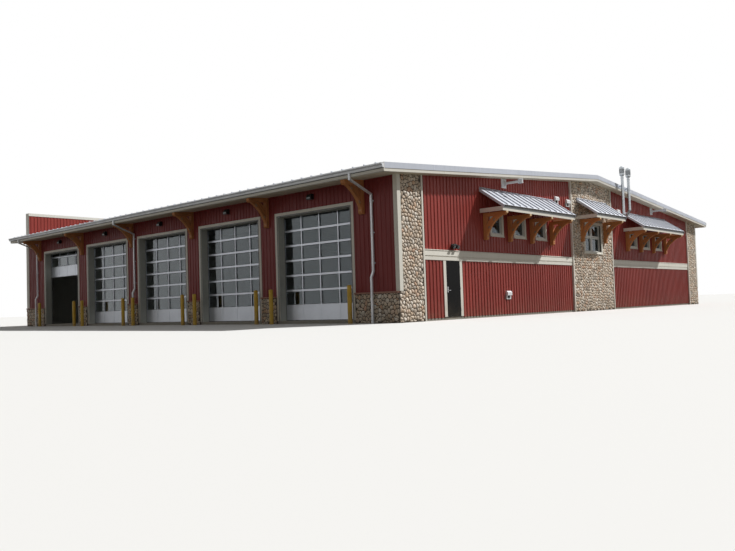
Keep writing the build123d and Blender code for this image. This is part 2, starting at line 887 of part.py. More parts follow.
# Man door: steel frame, outward-opening leaf, butt hinges and a lever on both faces
x_leaf = x_right + door_casing_proud
frame_back = x_leaf - door_frame_depth
with BuildPart() as door_frame:
    with BuildSketch(Plane.YZ.offset(frame_back)):
        with BuildLine():
            Polyline(
                (opening_left, floor_z),
                (opening_left, opening_top),
                (opening_right, opening_top),
                (opening_right, floor_z),
                (door_right + door_gap, floor_z),
                (door_right + door_gap, opening_top - door_frame_width),
                (door_left - door_gap, opening_top - door_frame_width),
                (door_left - door_gap, floor_z),
                close=True,
            )
        make_face()
    extrude(amount=x_right - frame_back)
    with BuildSketch(Plane.YZ.offset(x_right)):
        for jamb_y in (opening_left + door_frame_width / 2, opening_right - door_frame_width / 2):
            with Locations((jamb_y, floor_z + leaf_top / 2)):
                Rectangle(door_frame_width, leaf_top)
    extrude(amount=door_casing_proud)
    with BuildSketch(Plane.YZ.offset(frame_back)):
        with BuildLine():
            Polyline(
                (door_left - door_gap, floor_z),
                (door_left - door_gap, opening_top - door_frame_width),
                (door_right + door_gap, opening_top - door_frame_width),
                (door_right + door_gap, floor_z),
                (door_right - door_stop, floor_z),
                (door_right - door_stop, floor_z + leaf_top - door_stop),
                (door_left + door_stop, floor_z + leaf_top - door_stop),
                (door_left + door_stop, floor_z),
                close=True,
            )
        make_face()
    extrude(amount=door_frame_depth - door_thickness - door_gap)

with BuildPart() as door_leaf:
    with BuildSketch(Plane.YZ.offset(x_leaf)):
        with Locations(((door_left + door_right) / 2, floor_z + door_floor_gap + door_height / 2)):
            Rectangle(door_width, door_height)
    extrude(amount=-door_thickness)

hinge_x = x_leaf + hinge_knuckle_radius
hinge_y = door_right + door_gap / 2
knuckle_step = hinge_knuckle_length + hinge_knuckle_gap
with BuildPart() as door_hinges:
    for height in hinge_heights:
        with BuildSketch(Plane.XY.offset(floor_z + height)):
            with Locations((hinge_x, hinge_y)):
                Circle(hinge_knuckle_radius)
            with Locations((hinge_x - hinge_plate_width / 2, door_right + hinge_plate / 2)):
                Rectangle(hinge_plate_width, hinge_plate)
            with Locations((hinge_x, hinge_y)):
                Circle(hinge_bore_radius, mode=Mode.SUBTRACT)
        extrude(amount=hinge_knuckle_length)

with BuildPart() as frame_hinges:
    for height in hinge_heights:
        for start in (height - knuckle_step, height + knuckle_step):
            with BuildSketch(Plane.XY.offset(floor_z + start)):
                with Locations((hinge_x, hinge_y)):
                    Circle(hinge_knuckle_radius)
                with Locations((hinge_x - hinge_plate_width / 2, door_right + door_gap - hinge_plate / 2)):
                    Rectangle(hinge_plate_width, hinge_plate)
            extrude(amount=hinge_knuckle_length)
        with BuildSketch(Plane.XY.offset(floor_z + height - knuckle_step)):
            with Locations((hinge_x, hinge_y)):
                Circle(hinge_pin_radius)
        extrude(amount=3 * hinge_knuckle_length + 2 * hinge_knuckle_gap)

lever_y = door_left + lever_from_edge
with BuildPart() as door_lever:
    for face_x, outward in ((x_leaf, 1), (x_leaf - door_thickness, -1)):
        with BuildSketch(Plane.YZ.offset(face_x)):
            with Locations((lever_y, floor_z + lever_height)):
                Circle(rose_radius)
        extrude(amount=outward * rose_thickness)
        with BuildSketch(Plane.YZ.offset(face_x)):
            with Locations((lever_y, floor_z + lever_height)):
                Circle(lever_radius)
        extrude(amount=outward * (lever_reach - lever_bar_thickness))
        with BuildSketch(Plane.XZ.offset(-(lever_y - lever_radius))):
            with Locations((face_x + outward * (lever_reach - lever_bar_thickness / 2), floor_z + lever_height)):
                Rectangle(lever_bar_thickness, lever_bar_height)
        extrude(amount=-lever_length)

# Windows: outside trim, a sash set back in the wall, and one pane behind each sash
centre_size = (centre_window_width, centre_window_height)
small_size = (window_trim_width, window_trim_height)
windows = [(place, small_size, x_right) for place in small_windows]
windows.append((centre_window, centre_size, x_right + stone_proud))
with BuildPart() as window_trims:
    for place, size, face_x in windows:
        with BuildSketch(Plane.YZ.offset(face_x)):
            with Locations(place):
                Rectangle(size[0], size[1])
                Rectangle(
                    size[0] - 2 * window_trim_border,
                    size[1] - 2 * window_trim_border,
                    mode=Mode.SUBTRACT,
                )
        extrude(amount=window_trim_proud)

with BuildPart() as window_sashes:
    for place, size, face_x in windows:
        opening_width = size[0] - 2 * window_trim_border
        opening_height = size[1] - 2 * window_trim_border
        with BuildSketch(Plane.YZ.offset(x_right - sash_setback)):
            with Locations(place):
                Rectangle(opening_width, opening_height)
                Rectangle(
                    opening_width - 2 * sash_border,
                    opening_height - 2 * sash_border,
                    mode=Mode.SUBTRACT,
                )
                if size == centre_size:
                    Rectangle(centre_mullion, opening_height)
                    with Locations((0, centre_rail_above_middle)):
                        Rectangle(opening_width, centre_rail)
        extrude(amount=-sash_depth)

with BuildPart() as window_glass:
    for place, size, face_x in windows:
        with BuildSketch(Plane.YZ.offset(x_right - sash_setback - sash_depth)):
            with Locations(place):
                Rectangle(size[0] - 2 * window_trim_border, size[1] - 2 * window_trim_border)
        extrude(amount=-pane_thickness)

# Canopies: a sloping metal roof on three level boards, carried by timber brackets
canopies = [
    (canopy_middles[0], canopy_side_length, canopy_side_bottom, x_right),
    (canopy_middles[1], canopy_centre_length, canopy_centre_bottom, x_right + stone_proud),
    (canopy_middles[2], canopy_side_length, canopy_side_bottom, x_right),
]
x_canopy = x_right + canopy_reach - canopy_eave_lip
with BuildPart() as canopy_boards:
    for middle, length, bottom, face_x in canopies:
        with BuildSketch(Plane.XY.offset(bottom)):
            with Locations(((face_x + x_canopy) / 2, middle)):
                Rectangle(x_canopy - face_x, length)
            with Locations(((face_x + x_canopy - canopy_board_thickness) / 2, middle)):
                Rectangle(
                    x_canopy - canopy_board_thickness - face_x,
                    length - 2 * canopy_board_thickness,
                    mode=Mode.SUBTRACT,
                )
        extrude(amount=canopy_board_height)

with BuildPart() as canopy_roofs:
    for middle, length, bottom, face_x in canopies:
        eave_z = bottom + canopy_board_height
        with BuildSketch(Plane.XZ.offset(-(middle - length / 2))):
            with BuildLine():
                Polyline(
                    (x_right + canopy_reach, eave_z),
                    (face_x, eave_z + canopy_rise - canopy_board_height),
                    (face_x, eave_z + canopy_rise - canopy_board_height + canopy_roof_thickness),
                    (x_right + canopy_reach, eave_z + canopy_roof_thickness),
                    close=True,
                )
            make_face()
        extrude(amount=-length)
        run = x_right + canopy_reach - face_x
        slope = Vector(run, 0, canopy_board_height - canopy_rise)
        wall_edge = Vector(face_x, middle, eave_z + canopy_rise - canopy_board_height + canopy_roof_thickness)
        seam_end = slope.length - canopy_seam_setback
        seam_middle = wall_edge + slope.normalized() * seam_end / 2
        with BuildSketch(Plane(origin=seam_middle, x_dir=(0, 1, 0), z_dir=(-slope.Z, 0, slope.X))):
            seams = int((length - canopy_seam_width) / canopy_seam_pitch)
            with GridLocations(canopy_seam_pitch, 1, seams, 1):
                Rectangle(canopy_seam_width, seam_end)
        extrude(amount=canopy_seam_height)

canopy_brackets = []
for middle, length, bottom, face_x in canopies:
    if middle == 0:
        places = [-canopy_centre_bracket_pitch / 2, canopy_centre_bracket_pitch / 2]
    else:
        places = [canopy_bracket_pitch * k for k in (-1.5, -0.5, 0.5, 1.5)]
    canopy_brackets += [(middle + place, bottom, face_x) for place in places]

with BuildPart() as canopy_posts:
    for bracket_y, top, face_x in canopy_brackets:
        with BuildSketch(Plane.XZ.offset(-(bracket_y - canopy_post_width / 2))):
            with BuildLine():
                Polyline(
                    (face_x, top - canopy_post_drop),
                    (face_x, top),
                    (face_x + canopy_post_depth, top),
                    (face_x + canopy_post_depth, top - canopy_post_drop + post_foot_chamfer),
                    (face_x + canopy_post_depth - post_foot_chamfer, top - canopy_post_drop),
                    close=True,
                )
            make_face()
        extrude(amount=-canopy_post_width)

with BuildPart() as canopy_beams:
    for bracket_y, top, face_x in canopy_brackets:
        with BuildSketch(Plane.XZ.offset(-(bracket_y - canopy_post_width / 2))):
            with BuildLine():
                Polyline(
                    (face_x + canopy_post_depth, top),
                    (x_canopy, top),
                    (x_canopy, top - canopy_beam_height + beam_end_chamfer),
                    (x_canopy - beam_end_chamfer, top - canopy_beam_height),
                    (face_x + canopy_post_depth, top - canopy_beam_height),
                    close=True,
                )
            make_face()
        extrude(amount=-canopy_post_width)

with BuildPart() as canopy_braces:
    for bracket_y, top, face_x in canopy_brackets:

        def level_beam_under(x, z=top - canopy_beam_height):
            return z

        brace = knee_brace(
            face_x + canopy_post_depth,
            top - canopy_post_drop + canopy_brace_foot_gap,
            x_canopy - canopy_brace_head_gap,
            level_beam_under,
            canopy_brace_depth,
            canopy_brace_sag,
        )
        with BuildSketch(Plane.XZ.offset(-(bracket_y - canopy_brace_width / 2))):
            with BuildLine():
                ThreePointArc(brace[0], brace[1], brace[2])
                Line(brace[2], brace[5])
                ThreePointArc(brace[5], brace[4], brace[3])
                Line(brace[3], brace[0])
            make_face()
        extrude(amount=-canopy_brace_width)

# Fittings
with BuildPart() as wall_lights:
    light_z = floor_z + bay_clear_height + casing_width + bay_light_above_casing
    for bay_x in bay_middles:
        with BuildSketch(Plane.YZ.offset(bay_x - bay_light_width / 2)):
            with BuildLine():
                Polyline(
                    (y_front, light_z - bay_light_height / 2),
                    (y_front, light_z + bay_light_height / 2),
                    (y_front - bay_light_depth * 0.55, light_z + bay_light_height / 2),
                    (y_front - bay_light_depth, light_z),
                    (y_front - bay_light_depth, light_z - bay_light_height / 2),
                    close=True,
                )
            make_face()
        extrude(amount=bay_light_width)
    lamp_y = y_front + door_light_from_front
    lamp_z = floor_z + door_light_height
    with BuildSketch(Plane.YZ.offset(x_right)):
        with Locations((lamp_y, lamp_z)):
            Rectangle(door_light_box, door_light_box)
            Rectangle(2 * door_light_spread, door_light_box / 3)
    extrude(amount=door_light_box)
    for side in (-1, 1):
        head_plane = Plane(
            origin=(x_right + door_light_box / 2, lamp_y + side * door_light_spread, lamp_z),
            x_dir=(0, 1, 0),
            z_dir=(1, 0, -0.5),
        )
        with BuildSketch(head_plane):
            Circle(door_light_head_radius)
        extrude(amount=door_light_head_length)

with BuildPart() as arm_lights:
    for arm_y in (canopy_middles[0] + near_arm_from_canopy, canopy_middles[2] + far_arm_from_canopy):
        arm_z = soffit(arm_y) - arm_light_below_soffit
        with BuildSketch(Plane.YZ.offset(x_right)):
            with Locations((arm_y, arm_z)):
                Rectangle(arm_plate_width, arm_plate_height)
        extrude(amount=arm_plate_thickness)
        with BuildSketch(Plane.YZ.offset(x_right)):
            with Locations((arm_y, arm_z)):
                Rectangle(arm_size, arm_size)
        extrude(amount=arm_reach)
        with BuildSketch(Plane.XY.offset(arm_z - arm_head_height / 2)):
            with Locations((x_right + arm_reach, arm_y)):
                Circle(arm_head_radius)
        extrude(amount=arm_head_height)

vent_places = [
    (-centre_pilaster / 2 - offset, soffit(y_front) + above)
    for offset, above in zip(high_vent_from_pilaster, high_vent_above_eave)
]
vent_places.append((canopy_middles[0] - low_vent_from_canopy, floor_z + low_vent_height))
with BuildPart() as wall_vents:
    for vent_y, vent_z in vent_places:
        with BuildSketch(Plane.XZ.offset(-(vent_y - vent_size / 2))):
            with BuildLine():
                Polyline(
                    (x_right, vent_z - vent_size / 2),
                    (x_right, vent_z + vent_size / 2),
                    (x_right + vent_lip_depth, vent_z + vent_size / 2),
                    (x_right + vent_depth, vent_z + vent_size / 2 - vent_lip_depth),
                    (x_right + vent_depth, vent_z + vent_size / 2 - vent_hood_height),
                    (x_right + vent_recess, vent_z + vent_size / 2 - vent_hood_height),
                    (x_right + vent_recess, vent_z - vent_size / 2 + vent_frame),
                    (x_right + vent_sill, vent_z - vent_size / 2 + vent_frame),
                    (x_right + vent_sill, vent_z - vent_size / 2),
                    close=True,
                )
            make_face()
        extrude(amount=-vent_size)

with BuildPart() as flues:
    for offset, bend_radius in zip(flue_from_pilaster, flue_bend_radii):
        flue_y = centre_pilaster / 2 + offset
        flue_x = x_right + flue_stand
        base_z = soffit(y_front) - flue_base_below_eave
        top_z = soffit(y_front) + flue_top_above_eave
        half_turn = math.pi / 4 / flue_elbow_turns
        mitre_radius = bend_radius / math.cos(half_turn)
        mitres = [
            (
                flue_x - bend_radius + mitre_radius * math.sin(half_turn * (2 * k + 1)),
                base_z + bend_radius - mitre_radius * math.cos(half_turn * (2 * k + 1)),
            )
            for k in range(flue_elbow_turns)
        ]
        with BuildLine(Plane.XZ.offset(-flue_y)) as flue_path:
            Polyline((x_right, base_z), *mitres, (flue_x, top_z))
        with BuildSketch(Plane(origin=(x_right, flue_y, base_z), z_dir=(1, 0, 0))):
            Circle(flue_radius)
        sweep(transition=Transition.RIGHT)
        with BuildSketch(Plane.XY.offset(top_z)):
            with Locations((flue_x, flue_y)):
                Circle(flue_cap_radius)
        extrude(amount=flue_cap_height)
        with BuildSketch(Plane.XY.offset(top_z + flue_cap_height)):
            with Locations((flue_x, flue_y)):
                Circle(flue_cap_radius)
        extrude(amount=flue_cone_height, taper=45)
        strap_z = roof_top(flue_y) - rake_flashing_height / 2
        strap_start = x_rake + rake_flashing_thickness
        with BuildSketch(Plane.XY.offset(strap_z - flue_strap_height / 2)):
            with Locations(((strap_start + flue_x) / 2, flue_y)):
                Rectangle(flue_x - strap_start, flue_strap_width)
        extrude(amount=flue_strap_height)

with BuildPart() as bollards:
    with BuildSketch():
        for bay_x in bay_middles:
            with Locations((bay_x, y_front - bollard_front)):
                with GridLocations(2 * bollard_spread, 1, 2, 1):
                    Circle(bollard_radius)
    extrude(amount=floor_z + bollard_height)
    chamfer(
        bollards.faces().sort_by(Axis.Z)[-2 * bay_count:].edges(),
        length=bollard_dome / 2,
        length2=bollard_dome,
    )

os.makedirs("parts", exist_ok=True)
pieces = {
    "floor_slab": floor_slab,
    "front_piers": front_piers,
    "front_header": front_header,
    "back_wall": back_wall,
    "left_wall": left_wall,
    "right_wall_by_door": right_wall_by_door,
    "right_wall_over_door": right_wall_over_door,
    "right_wall": right_wall,
    "roof_front_slope": roof_front_slope,
    "roof_back_slope": roof_back_slope,
    "ridge_cap": ridge_cap,
    "rake_boards": rake_boards,
    "rake_flashing": rake_flashing,
    "eave_fascias": eave_fascias,
    "gutters": gutters,
    "downspouts": downspouts,
    "parapet_cap": parapet_cap,
    "eave_posts": eave_posts,
    "eave_beams": eave_beams,
    "eave_braces": eave_braces,
    "stone_pilasters": stone_pilasters,
    "stone_wainscot": stone_wainscot,
    "wainscot_caps": wainscot_caps,
    "corner_trims": corner_trims,
    "pilaster_trims": pilaster_trims,
    "belt_bands": belt_bands,
    "casing_jambs": casing_jambs,
    "casing_heads": casing_heads,
    **bay_doors,
    "bay_door_glass": bay_door_glass,
    "upright_tracks": upright_tracks,
    "overhead_tracks": overhead_tracks,
    "door_frame": door_frame,
    "door_leaf": door_leaf,
    "door_hinges": door_hinges,
    "frame_hinges": frame_hinges,
    "door_lever": door_lever,
    "window_trims": window_trims,
    "window_sashes": window_sashes,
    "window_glass": window_glass,
    "canopy_boards": canopy_boards,
    "canopy_roofs": canopy_roofs,
    "canopy_posts": canopy_posts,
    "canopy_beams": canopy_beams,
    "canopy_braces": canopy_braces,
    "wall_lights": wall_lights,
    "arm_lights": arm_lights,
    "wall_vents": wall_vents,
    "flues": flues,
    "bollards": bollards,
}
for name, piece in pieces.items():
    piece.part.label = name
    export_step(piece.part, "parts/" + name + ".step")
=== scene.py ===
import math
import random

import bmesh
import bpy
from mathutils import Matrix, Vector


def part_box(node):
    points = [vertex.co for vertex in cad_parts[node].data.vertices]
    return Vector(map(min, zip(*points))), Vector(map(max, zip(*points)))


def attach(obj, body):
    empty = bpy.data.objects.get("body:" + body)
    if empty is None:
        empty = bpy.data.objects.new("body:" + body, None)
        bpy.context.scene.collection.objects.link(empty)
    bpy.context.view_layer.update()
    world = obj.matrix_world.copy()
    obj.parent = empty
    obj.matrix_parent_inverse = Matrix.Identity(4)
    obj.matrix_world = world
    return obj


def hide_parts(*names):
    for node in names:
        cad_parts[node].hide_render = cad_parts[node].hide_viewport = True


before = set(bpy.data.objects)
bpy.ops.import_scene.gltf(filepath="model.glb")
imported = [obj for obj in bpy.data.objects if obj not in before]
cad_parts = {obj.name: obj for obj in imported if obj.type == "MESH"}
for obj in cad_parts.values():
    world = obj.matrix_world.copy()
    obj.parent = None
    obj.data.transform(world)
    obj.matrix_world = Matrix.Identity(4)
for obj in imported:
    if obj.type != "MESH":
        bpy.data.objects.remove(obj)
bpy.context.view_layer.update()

# The building's own faces, read from the frame (metres, front towards -Y, gable towards +X)
slabLow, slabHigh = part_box("floor_slab")
leftFace, frontFace, floorTop = slabLow.x, slabLow.y, slabHigh.z
gableFace, backFace = slabHigh.x, slabHigh.y
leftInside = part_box("left_wall")[1].x
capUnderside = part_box("parapet_cap")[0].z
eaveEdge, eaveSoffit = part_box("rake_boards")[0].yz
roofPitch = 1 / 12
roofDepth = 0.3
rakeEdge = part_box("roof_front_slope")[1].x
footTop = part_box("wainscot_caps")[1].z
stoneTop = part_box("stone_wainscot")[1].z
beltLow, beltHigh = (corner.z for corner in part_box("belt_bands"))

bays = {"count": 5, "first": 4.324, "pitch": 5.355, "clearWidth": 4.092, "clearHeight": 4.23,
        "casing": 0.166}
bayMiddles = [leftInside + bays["first"] + bays["pitch"] * k for k in range(bays["count"])]
bracketMiddles = [bayMiddles[0] + bays["pitch"] * (k - 0.5) for k in range(bays["count"] + 1)]
casingReach = bays["clearWidth"] / 2 + bays["casing"]
casingTop = floorTop + bays["clearHeight"] + bays["casing"]


def soffitAt(y):
    return eaveSoffit + (abs(eaveEdge) - abs(y)) * roofPitch


def roofTopAt(y):
    return soffitAt(y) + roofDepth


# Places on each face: along it, out of it, up
def onFront(along, out, up):
    return (along, frontFace - out, up)


def onBack(along, out, up):
    return (along, backFace + out, up)


def onGable(along, out, up):
    return (gableFace + out, along, up)


def onEndWall(along, out, up):
    return (leftFace - out, along, up)


def onParapet(along, out, up):
    return (leftInside + out, along, up)


upward, downward, outOfGable = (0, 0, 1), (0, 0, -1), (1, 0, 0)


def alongX(a, b, t):
    # a profile of (y, z) points, run along the front
    return (t, a, b)


def alongY(a, b, t):
    # a profile of (x, z) points, run along the gable
    return (a, t, b)


def level(height):
    # one height all along a wall
    return lambda along: height


# Mesh gathering: many closed parts of one finish go into one piece
plainTone = 0.5  # the middle shade of a finish; sheets, stones and boards draw their own, 0 to 1


def newShape():
    return {"points": [], "faces": [], "tones": []}


def addLoft(shape, rings, tone=plainTone):
    # a closed skin over rings that have equally many points
    start = len(shape["points"])
    size = len(rings[0])
    for ring in rings:
        shape["points"].extend(ring)
    faces = []
    for row in range(len(rings) - 1):
        base = start + row * size
        for k in range(size):
            a = base + k
            b = base + (k + 1) % size
            faces.append((a, b, b + size, a + size))
    last = start + (len(rings) - 1) * size
    faces.append(tuple(range(start + size - 1, start - 1, -1)))
    faces.append(tuple(range(last, last + size)))
    shape["faces"].extend(faces)
    shape["tones"].extend([tone] * len(faces))


def addBlock(shape, low, high):
    corners = ((low[0], low[1]), (high[0], low[1]), (high[0], high[1]), (low[0], high[1]))
    addLoft(shape, [[(x, y, z) for x, y in corners] for z in (low[2], high[2])])


def addProfile(shape, outline, place, start, end, tone=plainTone):
    # an outline of (a, b) points run from start to end by place(a, b, t)
    addLoft(shape, [[place(a, b, t) for a, b in outline] for t in (start, end)], tone)


def addTurned(shape, centre, axis, profile, sides):
    # rings of (distance along the axis, radius) about a centre
    axis = Vector(axis).normalized()
    across = axis.orthogonal().normalized()
    beside = axis.cross(across)
    rings = []
    for reach, radius in profile:
        rings.append([
            tuple(Vector(centre) + axis * reach
                  + (across * math.cos(turn) + beside * math.sin(turn)) * radius)
            for turn in (2 * math.pi * k / sides for k in range(sides))
        ])
    addLoft(shape, rings)


def addFrame(shape, place, low, high, border, back, front):
    # a closed rectangular ring of one width, from out=back to out=front
    (u0, v0), (u1, v1) = low, high
    outer = ((u0, v0), (u1, v0), (u1, v1), (u0, v1))
    inner = ((u0 + border, v0 + border), (u1 - border, v0 + border),
             (u1 - border, v1 - border), (u0 + border, v1 - border))
    start = len(shape["points"])
    for out in (back, front):
        for corners in (outer, inner):
            shape["points"].extend(place(u, out, v) for u, v in corners)
    for k in range(4):
        n = (k + 1) % 4
        behind, before = (k, n, 4 + n, 4 + k), (8 + k, 8 + n, 12 + n, 12 + k)
        around, within = (k, n, 8 + n, 8 + k), (4 + k, 4 + n, 12 + n, 12 + k)
        for corners in (behind, before, around, within):
            shape["faces"].append(tuple(start + corner for corner in corners))
            shape["tones"].append(plainTone)


def addPanel(shape, place, low, high, back, front):
    # a block on a face between two (along, up) corners, from out=back to out=front
    corners = (place(low[0], back, low[1]), place(high[0], front, high[1]))
    addBlock(shape, [min(pair) for pair in zip(*corners)], [max(pair) for pair in zip(*corners)])


def addHead(shape, centre, axis, radius, rim, top, crown, sunk=0.002, sides=6):
    # the head of a screw: let into its seat, straight up to the rim, then drawn in to the crown
    addTurned(shape, centre, axis, [(-sunk, radius), (rim, radius), (top, crown)], sides)


def addCollar(shape, centre, axis, high, radius, sides):
    # a band round a pipe, a few millimetres thick
    edge, face = radius - 0.001, radius + 0.005
    addTurned(shape, centre, axis, [(0, edge), (0, face), (high, face), (high, edge)], sides)


def makePiece(shape, name, finish, body="building", smoothAngle=None):
    # one mesh of closed parts, faces turned outwards, that rides its body
    mesh = bpy.data.meshes.new(name)
    mesh.from_pydata(shape["points"], [], shape["faces"])
    mesh.materials.append(finish)
    turned = bmesh.new()
    turned.from_mesh(mesh)
    bmesh.ops.recalc_face_normals(turned, faces=turned.faces)
    turned.to_mesh(mesh)
    turned.free()
    mesh.attributes.new("tone", "FLOAT", "FACE").data.foreach_set("value", shape["tones"])
    if smoothAngle is not None:
        mesh.polygons.foreach_set("use_smooth", [True] * len(mesh.polygons))
        mesh.set_sharp_from_angle(angle=math.radians(smoothAngle))
    piece = bpy.data.objects.new(name, mesh)
    bpy.context.scene.collection.objects.link(piece)
    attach(piece, body)
    return piece


# Finishes: small helpers first, then one function for each kind of surface
def paint(red, green, blue):
    # a colour as it is seen on a screen, 0 to 255
    def toLight(value):
        share = value / 255
        return share / 12.92 if share <= 0.04045 else ((share + 0.055) / 1.055) ** 2.4

    return (toLight(red), toLight(green), toLight(blue), 1)


def newFinish(name):
    finish = bpy.data.materials.new(name)
    finish.use_nodes = True
    tree = finish.node_tree
    return finish, tree, tree.nodes["Principled BSDF"]


def feed(tree, socket, value):
    if isinstance(value, bpy.types.NodeSocket):
        tree.links.new(value, socket)
    else:
        socket.default_value = value


def addNode(tree, kind, feeds=None, **settings):
    node = tree.nodes.new(kind)
    for key, value in settings.items():
        setattr(node, key, value)
    for key, value in (feeds or {}).items():
        feed(tree, node.inputs[key], value)
    return node


def objectPlace(tree, stretch=(1, 1, 1), turn=(0, 0, 0)):
    coordinates = addNode(tree, "ShaderNodeTexCoord")
    place = coordinates.outputs["Object"]
    if any(turn):
        # both sides of the building share one lean, so the turn works on distances from its middle
        place = addNode(tree, "ShaderNodeVectorMath", {0: place}, operation="ABSOLUTE").outputs[0]
        place = addNode(tree, "ShaderNodeMapping", {"Vector": place, "Rotation": turn}).outputs[0]
    return addNode(tree, "ShaderNodeMapping", {"Vector": place, "Scale": stretch}).outputs[0]


def noiseOf(tree, place, scale, detail=3.0, roughness=0.55):
    feeds = {"Vector": place, "Scale": scale, "Detail": detail, "Roughness": roughness}
    return addNode(tree, "ShaderNodeTexNoise", feeds).outputs[0]


def rampOf(tree, share, stops, how="LINEAR"):
    ramp = addNode(tree, "ShaderNodeValToRGB", {"Fac": share})
    ramp.color_ramp.interpolation = how
    while len(ramp.color_ramp.elements) < len(stops):
        ramp.color_ramp.elements.new(0.5)
    for element, (position, color) in zip(ramp.color_ramp.elements, stops):
        element.position = position
        element.color = color if hasattr(color, "__len__") else (color, color, color, 1)
    return ramp.outputs[0]


def mixColors(tree, share, first, second, how="MIX"):
    node = addNode(tree, "ShaderNodeMix", data_type="RGBA", blend_type=how)
    for index, value in ((0, share), (6, first), (7, second)):
        feed(tree, node.inputs[index], value)
    return node.outputs[2]


def mathOf(tree, how, first, second=0.0, clamped=False):
    node = addNode(tree, "ShaderNodeMath", operation=how, use_clamp=clamped)
    feed(tree, node.inputs[0], first)
    feed(tree, node.inputs[1], second)
    return node.outputs[0]


def bumpOf(tree, height, strength, distance, under=None):
    feeds = {"Height": height, "Strength": strength, "Distance": distance}
    if under:
        feeds["Normal"] = under
    return addNode(tree, "ShaderNodeBump", feeds).outputs[0]


def rangeOf(tree, value, low, high, newLow=0.0, newHigh=1.0):
    feeds = {"Value": value, "From Min": low, "From Max": high, "To Min": newLow, "To Max": newHigh}
    return addNode(tree, "ShaderNodeMapRange", feeds).outputs[0]


def heightAbove(tree):
    coordinates = addNode(tree, "ShaderNodeTexCoord")
    return addNode(tree, "ShaderNodeSeparateXYZ", {"Vector": coordinates.outputs["Object"]}).outputs["Z"]


def toneOf(tree):
    return addNode(tree, "ShaderNodeAttribute", attribute_name="tone").outputs["Fac"]


def dustNearGround(tree, color, dust, reach, most):
    # a breath of dry soil thrown up on the foot of the walls
    fade = rangeOf(tree, heightAbove(tree), floorTop, floorTop + reach, most, 0.0)
    patches = noiseOf(tree, objectPlace(tree), 3.0, 4.0, 0.65)
    share = mathOf(tree, "MULTIPLY", fade, rangeOf(tree, patches, 0.35, 0.7), True)
    return mixColors(tree, share, color, dust)


def enamel(name, color, weather, roughness, streak=0.35, waves=0.012, dust=None, mirror=0.24):
    # baked enamel on sheet metal: runs of weather down the sheet, slight waves, a few scuffs
    finish, tree, shader = newFinish(name)
    runs = noiseOf(tree, objectPlace(tree, (5, 5, 0.35)), 1.6, 5.0, 0.6)
    patches = noiseOf(tree, objectPlace(tree), 0.55, 3.0)
    share = mathOf(tree, "MULTIPLY", mathOf(tree, "MULTIPLY", runs, patches), streak * 3)
    color = mixColors(tree, share, color, weather)
    toned = rangeOf(tree, toneOf(tree), 0, 1, 0.93, 1.07)
    grey = addNode(tree, "ShaderNodeCombineColor", {"Red": toned, "Green": toned, "Blue": toned}).outputs[0]
    color = mixColors(tree, 1.0, color, grey, "MULTIPLY")
    if dust:
        color = dustNearGround(tree, color, dust, 0.8, 0.55)
    feed(tree, shader.inputs["Base Color"], color)
    feed(tree, shader.inputs["Roughness"], rangeOf(tree, runs, 0.3, 0.7, roughness - 0.06, roughness + 0.1))
    oilCanning = noiseOf(tree, objectPlace(tree, (1, 1, 0.5)), 1.3, 2.0)
    grain = noiseOf(tree, objectPlace(tree), 160, 2.0)
    waved = bumpOf(tree, oilCanning, 0.35, waves)
    feed(tree, shader.inputs["Normal"], bumpOf(tree, grain, 0.12, 0.0006, waved))
    shader.inputs["Specular IOR Level"].default_value = mirror
    return finish


def seamMetal(name, color, weather, metallic, roughness):
    # coated roof sheet: spangled zinc-grey with rain runs down the slope
    finish, tree, shader = newFinish(name)
    patches = noiseOf(tree, objectPlace(tree, (1.8, 0.35, 1)), 1.1, 4.0, 0.6)
    spangle = addNode(tree, "ShaderNodeTexVoronoi", {"Vector": objectPlace(tree), "Scale": 38.0})
    spangleShare = addNode(tree, "ShaderNodeSeparateColor", {"Color": spangle.outputs["Color"]}).outputs[0]
    color = mixColors(tree, rangeOf(tree, patches, 0.35, 0.75), color, weather)
    color = mixColors(tree, mathOf(tree, "MULTIPLY", spangleShare, 0.14), color, paint(150, 156, 166))
    feed(tree, shader.inputs["Base Color"], color)
    shader.inputs["Metallic"].default_value = metallic
    dullness = rangeOf(tree, patches, 0.3, 0.7, roughness - 0.05, roughness + 0.12)
    feed(tree, shader.inputs["Roughness"], dullness)
    oilCanning = noiseOf(tree, objectPlace(tree, (1.2, 0.5, 1)), 2.0, 2.0)
    feed(tree, shader.inputs["Normal"], bumpOf(tree, oilCanning, 0.3, 0.008))
    return finish


def rubbedMetal(name, color, roughness, brush, metallic=0.9):
    # anodised or galvanised metal, brushed along one way
    finish, tree, shader = newFinish(name)
    lines = noiseOf(tree, objectPlace(tree, brush), 1.0, 3.0, 0.6)
    clouds = noiseOf(tree, objectPlace(tree), 1.2, 3.0)
    dull = mixColors(tree, 0.5, color, paint(128, 130, 134), "MULTIPLY")
    color = mixColors(tree, rangeOf(tree, clouds, 0.4, 0.8, 0.0, 0.35), color, dull)
    feed(tree, shader.inputs["Base Color"], color)
    shader.inputs["Metallic"].default_value = metallic
    feed(tree, shader.inputs["Roughness"], rangeOf(tree, lines, 0.3, 0.7, roughness - 0.06, roughness + 0.08))
    feed(tree, shader.inputs["Normal"], bumpOf(tree, lines, 0.25, 0.0008))
    return finish


